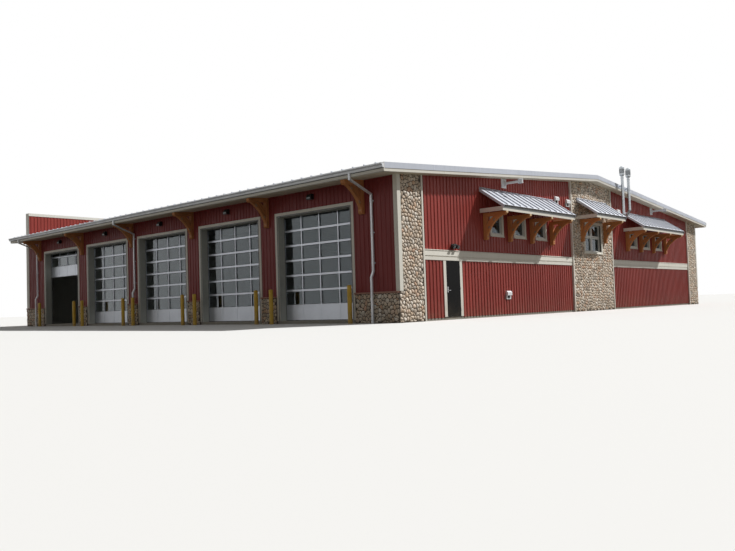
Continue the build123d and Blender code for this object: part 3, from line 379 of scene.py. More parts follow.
def stainedTimber(name, light, dark, stretch, turn=(0, 0, 0)):
    # stained fir: fine long grain, a few darker bands of late wood and drying checks
    finish, tree, shader = newFinish(name)
    place = objectPlace(tree, stretch, turn)
    waver = noiseOf(tree, objectPlace(tree, (1.6, 1.6, 1.6)), 0.7, 2.0)
    grain = noiseOf(tree, place, 2.2, 8.0, 0.7)
    wave = {"Vector": place, "Scale": 2.6, "Distortion": 2.2, "Detail": 2.0, "Detail Scale": 1.4}
    rings = addNode(tree, "ShaderNodeTexWave", wave).outputs["Fac"]
    share = mathOf(tree, "ADD", mathOf(tree, "MULTIPLY", rings, 0.35), mathOf(tree, "MULTIPLY", grain, 0.65))
    color = rampOf(tree, share, [(0.26, dark), (0.44, light), (0.8, light)])
    between = mixColors(tree, 0.5, light, dark)
    color = mixColors(tree, rangeOf(tree, waver, 0.35, 0.7, 0.0, 0.35), color, between)
    checks = rampOf(tree, noiseOf(tree, place, 5.0, 4.0, 0.8), [(0.29, 0.0), (0.33, 1.0)])
    color = mixColors(tree, checks, mixColors(tree, 0.6, light, paint(38, 20, 8)), color)
    feed(tree, shader.inputs["Base Color"], color)
    feed(tree, shader.inputs["Roughness"], rangeOf(tree, grain, 0.3, 0.7, 0.52, 0.7))
    relief = mathOf(tree, "ADD", mathOf(tree, "MULTIPLY", grain, 0.4), checks)
    feed(tree, shader.inputs["Normal"], bumpOf(tree, relief, 0.4, 0.0025))
    shader.inputs["Specular IOR Level"].default_value = 0.3
    return finish


def riverStone():
    # each stone draws its colour from its own tone; flecks and bands run inside it
    finish, tree, shader = newFinish("riverStone")
    place = objectPlace(tree)
    tone = toneOf(tree)
    body = rampOf(tree, tone, [
        (0.00, paint(184, 168, 150)), (0.14, paint(230, 211, 188)), (0.30, paint(248, 234, 216)),
        (0.42, paint(214, 194, 172)), (0.55, paint(250, 240, 226)), (0.68, paint(198, 185, 168)),
        (0.80, paint(230, 205, 178)), (0.88, paint(212, 174, 146)), (0.94, paint(242, 224, 204)),
        (1.00, paint(160, 149, 136)),
    ])
    mottle = noiseOf(tree, place, 16.0, 5.0, 0.65)
    fleck = noiseOf(tree, place, 90.0, 2.0)
    brown = mixColors(tree, 0.45, body, paint(120, 102, 84))
    color = mixColors(tree, rangeOf(tree, mottle, 0.35, 0.75, 0.0, 0.42), body, brown)
    color = mixColors(tree, rangeOf(tree, fleck, 0.58, 0.72, 0.0, 0.3), color, paint(236, 228, 214))
    color = dustNearGround(tree, color, paint(150, 132, 110), 0.5, 0.5)
    feed(tree, shader.inputs["Base Color"], color)
    feed(tree, shader.inputs["Roughness"], rangeOf(tree, mottle, 0.3, 0.7, 0.62, 0.8))
    relief = mathOf(tree, "ADD", mottle, mathOf(tree, "MULTIPLY", fleck, 0.3))
    feed(tree, shader.inputs["Normal"], bumpOf(tree, relief, 0.6, 0.004))
    shader.inputs["Specular IOR Level"].default_value = 0.3
    return finish


def mineral(name, color, dark, scale, relief, roughness=0.85, jointEvery=None):
    # mortar, concrete and cut stone: sandy grain, stains and, for cut stone, joints along its run
    finish, tree, shader = newFinish(name)
    place = objectPlace(tree)
    sand = noiseOf(tree, place, scale, 6.0, 0.7)
    stains = noiseOf(tree, place, 1.4, 4.0, 0.6)
    shade = mixColors(tree, rangeOf(tree, sand, 0.3, 0.75), color, dark)
    shade = mixColors(tree, rangeOf(tree, stains, 0.45, 0.8, 0.0, 0.45), shade, dark)
    height = sand
    if jointEvery:
        coordinates = addNode(tree, "ShaderNodeTexCoord")
        along = addNode(tree, "ShaderNodeSeparateXYZ", {"Vector": coordinates.outputs["Object"]}).outputs["X"]
        joint = mathOf(tree, "LESS_THAN", mathOf(tree, "PINGPONG", along, jointEvery / 2), 0.006)
        shade = mixColors(tree, mathOf(tree, "MULTIPLY", joint, 0.7), shade, paint(60, 52, 46))
        height = mathOf(tree, "SUBTRACT", sand, joint)
    feed(tree, shader.inputs["Base Color"], dustNearGround(tree, shade, paint(156, 140, 118), 0.35, 0.4))
    shader.inputs["Roughness"].default_value = roughness
    feed(tree, shader.inputs["Normal"], bumpOf(tree, height, 0.5, relief))
    return finish


def clearPane(name, tint, mirror):
    # thin clear glass with a faint smear of dust; mirror tints what it throws back, a painted sky colour in
    # the reflection
    finish, tree, shader = newFinish(name)
    smear = noiseOf(tree, objectPlace(tree, (1, 1, 0.4)), 2.5, 4.0, 0.6)
    dusty = mixColors(tree, rangeOf(tree, smear, 0.4, 0.8, 0.0, 0.12), tint, paint(190, 190, 184))
    feed(tree, shader.inputs["Base Color"], dusty)
    shader.inputs["Transmission Weight"].default_value = 1.0
    shader.inputs["IOR"].default_value = 1.5
    shader.inputs["Specular Tint"].default_value = mirror
    feed(tree, shader.inputs["Roughness"], rangeOf(tree, smear, 0.4, 0.8, 0.0, 0.03))
    return finish


def softPlastic(name, color, shade, roughness, relief=0.0004):
    # moulded plastic and rubber: faint clouds and a fine grain
    finish, tree, shader = newFinish(name)
    place = objectPlace(tree)
    clouds = noiseOf(tree, place, 6.0, 4.0, 0.6)
    grain = noiseOf(tree, place, 220.0, 2.0)
    color = mixColors(tree, rangeOf(tree, clouds, 0.35, 0.75, 0.0, 0.5), color, shade)
    feed(tree, shader.inputs["Base Color"], color)
    dullness = rangeOf(tree, clouds, 0.3, 0.7, roughness - 0.05, roughness + 0.08)
    feed(tree, shader.inputs["Roughness"], dullness)
    feed(tree, shader.inputs["Normal"], bumpOf(tree, grain, 0.3, relief))
    return finish


def scuffedYellow():
    # thick safety paint on a pipe: chips to primer low down, grime towards the ground
    finish, tree, shader = newFinish("safetyYellow")
    place = objectPlace(tree)
    clouds = noiseOf(tree, place, 5.0, 5.0, 0.65)
    chips = rampOf(tree, noiseOf(tree, place, 26.0, 6.0, 0.75), [(0.64, 0.0), (0.67, 1.0)])
    low = rangeOf(tree, heightAbove(tree), 0.2, 1.1, 1.0, 0.12)
    worn = rangeOf(tree, clouds, 0.4, 0.75, 0.0, 0.5)
    color = mixColors(tree, worn, paint(217, 176, 58), paint(180, 138, 42))
    color = mixColors(tree, mathOf(tree, "MULTIPLY", chips, low), color, paint(92, 78, 60))
    feed(tree, shader.inputs["Base Color"], dustNearGround(tree, color, paint(150, 128, 96), 0.5, 0.7))
    feed(tree, shader.inputs["Roughness"], rangeOf(tree, clouds, 0.3, 0.7, 0.38, 0.55))
    relief = mathOf(tree, "ADD", chips, mathOf(tree, "MULTIPLY", clouds, 0.4))
    feed(tree, shader.inputs["Normal"], bumpOf(tree, relief, 0.35, 0.002))
    return finish


redSheet = enamel("redRibbedSheet", paint(164, 69, 60), paint(117, 46, 41), 0.42, 0.4, 0.005,
                  paint(150, 104, 88))
# the front wall's sheets: the same red enamel painted darker, painted shade of the front wall
frontRedSheetPaintedShade = enamel("redSheetPaintedShade", paint(134, 53, 50), paint(98, 38, 37), 0.42, 0.4, 0.005,
                       paint(142, 100, 86))
creamEnamel = enamel("creamEnamel", paint(248, 244, 232), paint(222, 216, 202), 0.45, 0.3, 0.004,
                     paint(164, 148, 122))
soffitEnamel = enamel("soffitEnamel", paint(222, 215, 194), paint(186, 179, 158), 0.5, 0.25, 0.003)
paleFlashing = enamel("paleFlashing", paint(226, 231, 242), paint(188, 193, 202), 0.36, 0.3, 0.005)
paleLiner = enamel("paleLiner", paint(196, 198, 190), paint(150, 150, 142), 0.55, 0.3, 0.006)
charcoalEnamel = enamel("charcoalEnamel", paint(13, 13, 13), paint(22, 21, 20), 0.6, 0.3, 0.003,
                        paint(70, 62, 52), mirror=0.1)
roofSheet = seamMetal("seamRoofSheet", paint(176, 182, 190), paint(152, 159, 169), 0.12, 0.56)
gutterEnamel = seamMetal("gutterEnamel", paint(236, 238, 241), paint(212, 215, 219), 0.3, 0.32)
canopySheetMetal = seamMetal("canopySheetMetal", paint(210, 213, 220), paint(188, 192, 202), 0.15, 0.46)
anodised = rubbedMetal("clearAnodised", paint(196, 200, 207), 0.36, (2, 2, 90), 0.75)
galvanised = rubbedMetal("galvanisedSteel", paint(176, 180, 184), 0.48, (30, 30, 30), 0.8)
satinSteel = rubbedMetal("satinSteel", paint(200, 200, 202), 0.3, (60, 60, 8), 0.95)
agedIron = rubbedMetal("agedIron", paint(176, 142, 112), 0.55, (30, 30, 30), 0.3)
flueSheet = rubbedMetal("stainlessFlue", paint(190, 195, 199), 0.26, (6, 6, 70), 0.88)

eaveStain = (paint(198, 134, 84), paint(150, 96, 58))
# the canopies' timbers: the eaves' stain painted lighter, painted light thrown up from the sunlit ground
canopyStainPaintedLight = (paint(216, 146, 90), paint(172, 108, 60))
grainUp, grainAlong = (9, 9, 0.9), (9, 0.9, 9)  # stretch of the grain: up a post, along Y
braceLean = math.radians(42)
postTimber = stainedTimber("uprightTimber", *eaveStain, grainUp)
eaveBeamTimber = stainedTimber("eaveBeamTimber", *eaveStain, grainAlong)
eaveBraceTimber = stainedTimber("eaveBraceTimber", *eaveStain, grainUp, (braceLean, 0, 0))
canopyPostTimber = stainedTimber("canopyPostTimber", *canopyStainPaintedLight, grainUp)
canopyBeamTimber = stainedTimber("canopyBeamTimber", *canopyStainPaintedLight, grainUp, (0, math.radians(90), 0))
canopyBraceTimber = stainedTimber("canopyBraceTimber", *canopyStainPaintedLight, grainUp, (0, -braceLean, 0))
deckTimber = stainedTimber("deckTimber", paint(178, 134, 92), paint(138, 98, 62), grainAlong)
# beam ends: painted pale, a painted highlight of sunlit end grain
endGrainPaintedHighlight = stainedTimber("paleEndGrainPaintedHighlight", paint(232, 206, 168), paint(206, 172, 126), (14, 14, 14))

stoneFinish = riverStone()
mortar = mineral("mortarBed", paint(90, 81, 71), paint(60, 53, 45), 60.0, 0.006)
slabConcrete = mineral("slabConcrete", paint(176, 172, 162), paint(140, 134, 124), 24.0, 0.003)
capStone = mineral("cutCapStone", paint(184, 142, 126), paint(140, 102, 88), 40.0, 0.003, 0.75, 1.2)
# the panes' reflections are tinted: a painted sky colour, bluish, and darker on the windows
pane = clearPane("doorGlass", paint(206, 216, 222), (0.9, 0.97, 1.0, 1))
windowPane = clearPane("windowGlass", paint(176, 192, 202), (0.46, 0.54, 0.62, 1))
whiteVinyl = softPlastic("whiteVinyl", paint(228, 228, 222), paint(206, 206, 198), 0.4)
# black for gaskets and rubbers, and painted shade in the vents' openings and the flue caps' slots
rubberBlackAndPaintedShade = softPlastic("rubberBlackAndPaintedShade", paint(24, 24, 25), paint(38, 37, 36), 0.7, 0.0008)
lampBlack = softPlastic("lampHousingBlack", paint(28, 27, 27), paint(46, 44, 42), 0.45)
lampWhite = softPlastic("lampHousingWhite", paint(238, 239, 240), paint(214, 215, 216), 0.36)
lampLens = softPlastic("frostedLens", paint(142, 145, 148), paint(122, 125, 128), 0.2)
# grey for weather strips and seals, and for the painted shade bands on the canopies' front boards and the
# fascia
greyStripAndPaintedShade = softPlastic("weatherStripAndPaintedShadeGrey", paint(124, 125, 124), paint(100, 101, 100), 0.5)
yellowPaint = scuffedYellow()
print("finishes ready:", len(bpy.data.materials))

# The solids' own finishes
nodeFinishes = {
    "floor_slab": slabConcrete, "front_piers": paleLiner, "front_header": paleLiner, "back_wall": paleLiner,
    "left_wall": paleLiner, "right_wall_by_door": paleLiner, "right_wall_over_door": paleLiner,
    "right_wall": paleLiner, "roof_front_slope": roofSheet, "roof_back_slope": roofSheet,
    "ridge_cap": roofSheet, "rake_boards": creamEnamel, "rake_flashing": paleFlashing,
    "eave_fascias": creamEnamel, "gutters": gutterEnamel, "downspouts": gutterEnamel,
    "parapet_cap": creamEnamel, "eave_posts": postTimber, "eave_beams": eaveBeamTimber,
    "eave_braces": eaveBraceTimber, "stone_pilasters": mortar, "stone_wainscot": mortar,
    "wainscot_caps": capStone, "corner_trims": creamEnamel, "pilaster_trims": creamEnamel,
    "belt_bands": creamEnamel, "casing_jambs": creamEnamel, "casing_heads": creamEnamel,
    "raised_bay_door": anodised, "closed_bay_doors": anodised, "bay_door_glass": pane,
    "upright_tracks": galvanised, "overhead_tracks": galvanised, "door_frame": creamEnamel,
    "door_leaf": charcoalEnamel, "door_hinges": satinSteel, "frame_hinges": satinSteel,
    "door_lever": satinSteel, "window_trims": creamEnamel, "window_sashes": whiteVinyl,
    "window_glass": windowPane, "canopy_boards": creamEnamel, "canopy_roofs": roofSheet,
    "canopy_posts": canopyPostTimber, "canopy_beams": canopyBeamTimber, "canopy_braces": canopyBraceTimber,
    "wall_lights": lampBlack, "arm_lights": lampWhite, "wall_vents": lampWhite, "flues": flueSheet,
    "bollards": yellowPaint,
}
for node, finish in nodeFinishes.items():
    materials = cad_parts[node].data.materials
    for index in range(len(materials)):
        materials[index] = finish

# Ribbed wall sheets: closed sheets, four ribs wide, with one phase all along a wall
sheets = {"pitch": 0.2117, "ribTop": 0.082, "ribSide": 0.014, "pan": 0.003, "rib": 0.024,
          "gableRib": 0.029, "ribsAcross": 4, "foot": 0.09}


def ribProfile(low, high, rib):
    # (along, out) points of the sheet's face between two places along the wall
    def outAt(along):
        fromMiddle = abs((along / sheets["pitch"]) % 1 - 0.5) * sheets["pitch"]
        rise = (sheets["ribTop"] / 2 + sheets["ribSide"] - fromMiddle) / sheets["ribSide"]
        return sheets["pan"] + (rib - sheets["pan"]) * min(max(rise, 0), 1)

    places = [low, high]
    first = math.floor(low / sheets["pitch"]) - 1
    last = math.ceil(high / sheets["pitch"]) + 1
    for k in range(first, last):
        middle = (k + 0.5) * sheets["pitch"]
        for reach in (sheets["ribTop"] / 2, sheets["ribTop"] / 2 + sheets["ribSide"]):
            places += [middle - reach, middle + reach]
    inside = sorted(p for p in places if low <= p <= high)
    return [(p, outAt(p)) for p in inside]


def addSheets(shape, place, low, high, bottomAt, topAt, dice, rib=None, breaks=()):
    # closed sheets from low to high along a wall, parted every few ribs and at each break
    width = sheets["pitch"] * sheets["ribsAcross"]
    joins = [k * width for k in range(math.ceil(low / width), math.floor(high / width) + 1)]
    cuts = sorted({low, high} | set(joins) | {b for b in breaks if low < b < high})
    for start, end in zip(cuts, cuts[1:]):
        if end - start < 0.002:
            continue
        face = ribProfile(start, end, rib or sheets["rib"])
        outline = face + [(end, 0.0), (start, 0.0)]
        rings = [[place(a, out, heightAt(a)) for a, out in outline] for heightAt in (bottomAt, topAt)]
        addLoft(shape, rings, dice.random())


def addSheetsAround(shape, place, low, high, bottom, topAt, holes, dice, rib):
    # sheets of one wall face with rectangular holes (along low, along high, bottom, top)
    edges = sorted({low, high} | {edge for hole in holes for edge in hole[:2] if low < edge < high})
    for start, end in zip(edges, edges[1:]):
        middle = (start + end) / 2
        base = bottom
        for hole in sorted((h for h in holes if h[0] < middle < h[1]), key=lambda h: h[2]):
            if hole[2] > base:
                addSheets(shape, place, start, end, level(base), level(hole[2]), dice, rib)
            base = max(base, hole[3])
        addSheets(shape, place, start, end, level(base), topAt, dice, rib)


# Places of the windows, canopies, stone and man door along the walls
windows = {"pitch": 1.86, "width": 1.04, "height": 1.0, "footBelow": 0.92, "centreWidth": 2.08,
           "centreHeight": 1.6, "centreFootBelow": 1.67, "border": 0.12, "trimOut": 0.04}
canopies = {"fromMiddle": 7.13, "sideLength": 6.2, "centreLength": 3.4, "sideBelow": 1.01,
            "centreBelow": 0.71, "reach": 1.16}
stonework = {"out": 0.06, "near": 1.44, "far": 1.64, "centre": 4.63, "strip": 0.085, "cornerStep": 0.145}
manDoor = {"fromCorner": 2.814, "width": 0.881, "surround": 0.17}
cornerInset = 0.085
sideBottom = soffitAt(frontFace) - canopies["sideBelow"]
centreBottom = soffitAt(frontFace) - canopies["centreBelow"]
smallMiddle = sideBottom - windows["footBelow"] + windows["height"] / 2
smallWindows = [
    (side * canopies["fromMiddle"] + windows["pitch"] * k, smallMiddle)
    for side in (-1, 1)
    for k in (-1, 0, 1)
]
centreWindow = (0.0, centreBottom - windows["centreFootBelow"] + windows["centreHeight"] / 2)
nearStrip = frontFace + stonework["near"]
farStrip = backFace - stonework["far"]
centreEdge = stonework["centre"] / 2
sheetSpans = ((nearStrip, -centreEdge), (centreEdge, farStrip))  # gable and end wall, between the stone
doorLow = frontFace + manDoor["fromCorner"]
doorHigh = doorLow + manDoor["width"]
doorHole = (doorLow - manDoor["surround"], doorHigh + manDoor["surround"], 0.0, beltLow)
windowHoles = [
    (y - windows["width"] / 2, y + windows["width"] / 2, z - windows["height"] / 2, z + windows["height"] / 2)
    for y, z in smallWindows
]
pierEdges = [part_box("eave_fascias")[0].x]
for bayX in bayMiddles:
    pierEdges += [bayX - casingReach, bayX + casingReach]
pierEdges.append(gableFace - cornerInset)
pierSpans = list(zip(pierEdges[::2], pierEdges[1::2]))

dice = random.Random(11)
frontSheets = newShape()
for low, high in pierSpans:
    addSheets(frontSheets, onFront, low, high, level(footTop), level(soffitAt(frontFace)), dice)
for bayX in bayMiddles:
    addSheets(frontSheets, onFront, bayX - casingReach, bayX + casingReach, level(casingTop),
              level(soffitAt(frontFace)), dice)
makePiece(frontSheets, "front_wall_sheets", frontRedSheetPaintedShade)

backSheets = newShape()
addSheets(backSheets, onBack, pierEdges[0], pierEdges[-1], level(footTop), level(soffitAt(backFace)), dice)
makePiece(backSheets, "back_wall_sheets", redSheet)

gableSheets = newShape()
for low, high in sheetSpans:
    lowHoles = [doorHole] if low < doorHole[0] < high else []
    addSheetsAround(gableSheets, onGable, low, high, sheets["foot"], level(beltLow), lowHoles, dice,
                    sheets["gableRib"])
    holes = [hole for hole in windowHoles if low < hole[0] < high]
    addSheetsAround(gableSheets, onGable, low, high, beltHigh, soffitAt, holes, dice, sheets["gableRib"])
makePiece(gableSheets, "gable_wall_sheets", redSheet)

endSheets = newShape()
for low, high in sheetSpans:
    addSheets(endSheets, onEndWall, low, high, level(sheets["foot"]), level(beltLow), dice)
    addSheets(endSheets, onEndWall, low, high, level(beltHigh), level(capUnderside), dice)
makePiece(endSheets, "end_wall_sheets", redSheet)

parapetSheets = newShape()
addSheets(parapetSheets, onParapet, frontFace, backFace, roofTopAt, level(capUnderside), dice, breaks=(0.0,))
makePiece(parapetSheets, "parapet_sheets", redSheet)
print("wall sheets hung")


# River stones: cells drawn around scattered middles, each rounded and domed
stones = {"spacing": 0.156, "rowShare": 0.87, "scatter": 0.42, "sizeSpread": 0.34, "joint": 0.02,
          "cellReach": 1.7, "furthest": 2.6, "least": 0.022, "most": 0.039, "limit": 0.0395, "bed": 0.006,
          "corner": 0.26, "lean": 0.09, "smallest": 0.0014, "smooth": 70}
stoneRings = ((0.97, 0.42), (0.80, 0.84))  # share of the outline, share of the height


def cutCell(cell, normal, reach):
    # keeps the side of a line where the point's share along normal is under reach
    kept = []
    for k, (u, v) in enumerate(cell):
        nextU, nextV = cell[(k + 1) % len(cell)]
        here = u * normal[0] + v * normal[1] - reach
        there = nextU * normal[0] + nextV * normal[1] - reach
        if here <= 0:
            kept.append((u, v))
        if (here < 0 < there) or (there < 0 < here):
            share = here / (here - there)
            kept.append((u + (nextU - u) * share, v + (nextV - v) * share))
    return kept


def insideHole(u, v, hole, extra=0.0):
    return hole[0] - extra < u < hole[1] + extra and hole[2] - extra < v < hole[3] + extra


def scatterStones(low, high, bottom, top, dice):
    # middles and sizes of the stones, in shifted rows with some scatter
    step = stones["spacing"]
    rise = step * stones["rowShare"]
    sites = {}
    rows = int((top - bottom) / rise) + 3
    columns = int((high - low) / step) + 3
    for row in range(-1, rows):
        for column in range(-1, columns):
            shift = 0.5 * (row % 2)
            u = low + (column + shift + dice.uniform(-1, 1) * stones["scatter"]) * step
            v = bottom + (row + dice.uniform(-1, 1) * stones["scatter"]) * step * stones["rowShare"]
            sites[row, column] = (u, v, dice.uniform(0.0, stones["sizeSpread"] * step) ** 2 * 2)
    return sites


def trimToNeighbours(cell, sites, row, column):
    # cuts a stone's cell half a joint short of the line to each stone around it
    u, v, size = sites[row, column]
    for dRow in range(-2, 3):
        for dColumn in range(-2, 3):
            other = sites.get((row + dRow, column + dColumn))
            if other is None or (dRow == 0 and dColumn == 0):
                continue
            du, dv = other[0] - u, other[1] - v
            apart = math.hypot(du, dv)
            if apart < 0.01 or apart > stones["furthest"] * stones["spacing"]:
                continue
            normal = (du / apart, dv / apart)
            edge = apart / 2 + (size - other[2]) / (2 * apart) - stones["joint"] / 2
            cell = cutCell(cell, normal, u * normal[0] + v * normal[1] + edge)
    return cell


def stoneCells(low, high, bottom, topLines, holes, dice):
    # cells of one stone face: (u, v) outlines between low and high, above bottom, under each top line
    sites = scatterStones(low, high, bottom, max(reach for normal, reach in topLines), dice)
    reach = stones["spacing"] * stones["cellReach"]
    half = stones["joint"] / 2
    cells = []
    for (row, column), (u, v, size) in sites.items():
        if not (low < u < high and v > bottom) or any(insideHole(u, v, hole) for hole in holes):
            continue
        cell = [(u - reach, v - reach), (u + reach, v - reach),
                (u + reach, v + reach), (u - reach, v + reach)]
        cell = trimToNeighbours(cell, sites, row, column)
        limits = [((-1, 0), -low - half), ((1, 0), high - half), ((0, -1), -bottom - half)]
        limits += [(normal, reachOut - half) for normal, reachOut in topLines]
        for hole in holes:
            # the side of the hole that the stone lies furthest beyond
            sides = [(hole[0] - u, (1, 0), hole[0]), (u - hole[1], (-1, 0), -hole[1]),
                     (hole[2] - v, (0, 1), hole[2]), (v - hole[3], (0, -1), -hole[3])]
            beyond, normal, reachOut = max(sides)
            if beyond < reach:
                limits.append((normal, reachOut - half))
        for normal, reachOut in limits:
            cell = cutCell(cell, normal, reachOut)
        if len(cell) >= 3:
            cells.append(cell)
    return cells


def cellArea(cell):
    ends = cell[1:] + cell[:1]
    return abs(sum(u * endV - endU * v for (u, v), (endU, endV) in zip(cell, ends))) / 2


def roundOff(cell, share):
    # cuts each corner back along both of its sides
    rounded = []
    for k, (u, v) in enumerate(cell):
        nextU, nextV = cell[(k + 1) % len(cell)]
        rounded.append((u + (nextU - u) * share, v + (nextV - v) * share))
        rounded.append((u + (nextU - u) * (1 - share), v + (nextV - v) * (1 - share)))
    return rounded


def addStone(shape, cell, place, face, dice):
    # a closed stone let into the mortar bed, with two rings and a crown, at a slight lean
    outline = roundOff(cell, stones["corner"])
    size = len(outline)
    middleU, middleV = (sum(point[i] for point in outline) / size for i in (0, 1))
    height = dice.uniform(stones["least"], stones["most"])
    leanU, leanV = (dice.uniform(-stones["lean"], stones["lean"]) for i in range(2))
    tone = dice.random()

    def pointAt(u, v, share, lift):
        du, dv = (u - middleU) * share, (v - middleV) * share
        out = min(max(height * lift + (du * leanU + dv * leanV) * lift, 0.001), stones["limit"])
        return place(middleU + du, face + out, middleV + dv)

    start = len(shape["points"])
    shape["points"].extend(place(u, face - stones["bed"], v) for u, v in outline)
    for share, lift in stoneRings:
        shape["points"].extend(pointAt(u, v, share, lift) for u, v in outline)
    shape["points"].append(pointAt(middleU, middleV, 0, 1.0))
    faces = [tuple(range(start + size - 1, start - 1, -1))]
    for ring in range(2):
        base = start + ring * size
        for k in range(size):
            n = (k + 1) % size
            faces.append((base + k, base + n, base + size + n, base + size + k))
    base = start + 2 * size
    faces += [(base + k, base + (k + 1) % size, start + 3 * size) for k in range(size)]
    shape["faces"].extend(faces)
    shape["tones"].extend([tone] * len(faces))


def layStones(shape, place, low, high, topLines, dice, holes=()):
    # fills one stone face and counts its stones, without the slivers
    count = 0
    for cell in stoneCells(low, high, 0.0, topLines, holes, dice):
        if cellArea(cell) > stones["smallest"]:
            addStone(shape, cell, place, stonework["out"], dice)
            count += 1
    return count


slopeLength = math.hypot(1, roofPitch)
# lines under the two roof slopes: z + side * y * pitch is less than the ridge's underside height
roofLines = [
    ((side * roofPitch / slopeLength, 1 / slopeLength), soffitAt(0) / slopeLength)
    for side in (-1, 1)
]
capLine = [((0, 1), capUnderside)]
footLine = [((0, 1), stoneTop)]
stripInner = stonework["strip"]
cornerHoles = [
    (frontFace - 1, frontFace + stonework["cornerStep"], footTop, 9.0),
    (backFace - stonework["cornerStep"], backFace + 1, footTop, 9.0),
]
centreHole = {"halfWide": 0.97, "halfHigh": 0.73}  # the stone runs a little behind the middle window's trim
windowHole = (-centreHole["halfWide"], centreHole["halfWide"],
              centreWindow[1] - centreHole["halfHigh"], centreWindow[1] + centreHole["halfHigh"])
pilasterSpans = [
    ("near_corner", frontFace - stonework["out"], nearStrip - stripInner, [cornerHoles[0]]),
    ("middle", -centreEdge + stripInner, centreEdge - stripInner, []),
    ("far_corner", farStrip + stripInner, backFace + stonework["out"], [cornerHoles[1]]),
]
stoneCount = 0
for wall, place, topLines in (("gable", onGable, roofLines), ("end_wall", onEndWall, capLine)):
    for label, low, high, holes in pilasterSpans:
        pilaster = newShape()
        extra = [windowHole] if wall == "gable" and label == "middle" else []
        stoneCount += layStones(pilaster, place, low, high, topLines, dice, holes + extra)
        makePiece(pilaster, f"{wall}_{label}_stones", stoneFinish, smoothAngle=stones["smooth"])
frontFeet = newShape()
footEdges = [leftFace - stonework["out"]] + pierEdges[1:-1] + [gableFace + stonework["out"]]
for low, high in zip(footEdges[::2], footEdges[1::2]):
    stoneCount += layStones(frontFeet, onFront, low, high, footLine, dice)
makePiece(frontFeet, "front_foot_stones", stoneFinish, smoothAngle=stones["smooth"])
backFoot = newShape()
stoneCount += layStones(backFoot, onBack, footEdges[0], footEdges[-1], footLine, dice)
makePiece(backFoot, "back_foot_stones", stoneFinish, smoothAngle=stones["smooth"])
print("stones laid:", stoneCount)

# Soffit: cream grooved sheets under the eaves and rakes, between the wall and the fascia
soffits = {"board": 0.2, "groove": 0.012, "thick": 0.012}


def addSoffitRun(shape, place, low, high, reach, dice):
    # boards across the overhang, each with a small open groove beside it
    count = round((high - low) / soffits["board"])
    width = (high - low) / count
    for k in range(count):
        start = low + k * width
        end = start + width - soffits["groove"]
        ring = [(start, 0), (end, 0), (end, soffits["thick"]), (start, soffits["thick"])]
        addLoft(shape, [[place(a, out, -drop) for a, drop in ring] for out in (0.0, reach)], dice.random())


def underFront(along, out, lift):
    return (along, frontFace - out, soffitAt(frontFace - out) + lift)


def underBack(along, out, lift):
    return (along, backFace + out, soffitAt(backFace + out) + lift)


def underRake(along, out, lift):
    return (gableFace + out, along, soffitAt(along) + lift)


for name, place in (("front_soffit", underFront), ("back_soffit", underBack)):
    run = newShape()
    addSoffitRun(run, place, leftInside, rakeEdge, frontFace - eaveEdge, dice)
    makePiece(run, name, soffitEnamel)
rakeSoffit = newShape()
for low, high in ((frontFace, 0.0), (0.0, backFace)):
    addSoffitRun(rakeSoffit, underRake, low, high, rakeEdge - gableFace, dice)
makePiece(rakeSoffit, "rake_soffit", soffitEnamel)
print("soffits up")

# Weather strips on the doors' casings, beside and over each opening
strips = {"wide": 0.05, "proud": 0.03, "thick": 0.005}
halfOpening = bays["clearWidth"] / 2
openingTop = floorTop + bays["clearHeight"]
weatherStrips = newShape()
stripBack, stripFront = strips["proud"] - 0.001, strips["proud"] + strips["thick"]
for bayX in bayMiddles:
    outer = halfOpening + strips["wide"]
    for side in (-1, 1):
        addPanel(weatherStrips, onFront, (bayX + side * outer, floorTop),
                 (bayX + side * halfOpening, openingTop), stripBack, stripFront)
    addPanel(weatherStrips, onFront, (bayX - outer, openingTop), (bayX + outer, openingTop + strips["wide"]),
             stripBack, stripFront)
makePiece(weatherStrips, "casing_weather_strips", greyStripAndPaintedShade)

# Overhead doors: battens on the plain bottom section, gaskets round the lights, seals at the jambs and head
doors = {"sections": 7, "width": 4.27, "endStile": 0.1, "stile": 0.064, "rail": 0.042, "across": 4,
         "overTop": 0.04, "sectionGap": 0.003, "raised": 2.79, "raisedRows": 2, "batten": 0.05,
         "battenOut": 0.007, "gasket": 0.011, "gasketOut": 0.0035, "gasketLap": 0.004, "seal": 0.022,
         "sealBack": 0.004, "sealFront": 0.02}
sectionHeight = (bays["clearHeight"] + doors["overTop"]) / doors["sections"]
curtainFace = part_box("closed_bay_doors")[0].y
lightPitch = (doors["width"] - 2 * doors["endStile"] + doors["stile"]) / doors["across"]
lightWidth = lightPitch - doors["stile"]


def onCurtain(along, out, up):
    # out of the closed doors' outer face
    return (along, curtainFace - out, up)


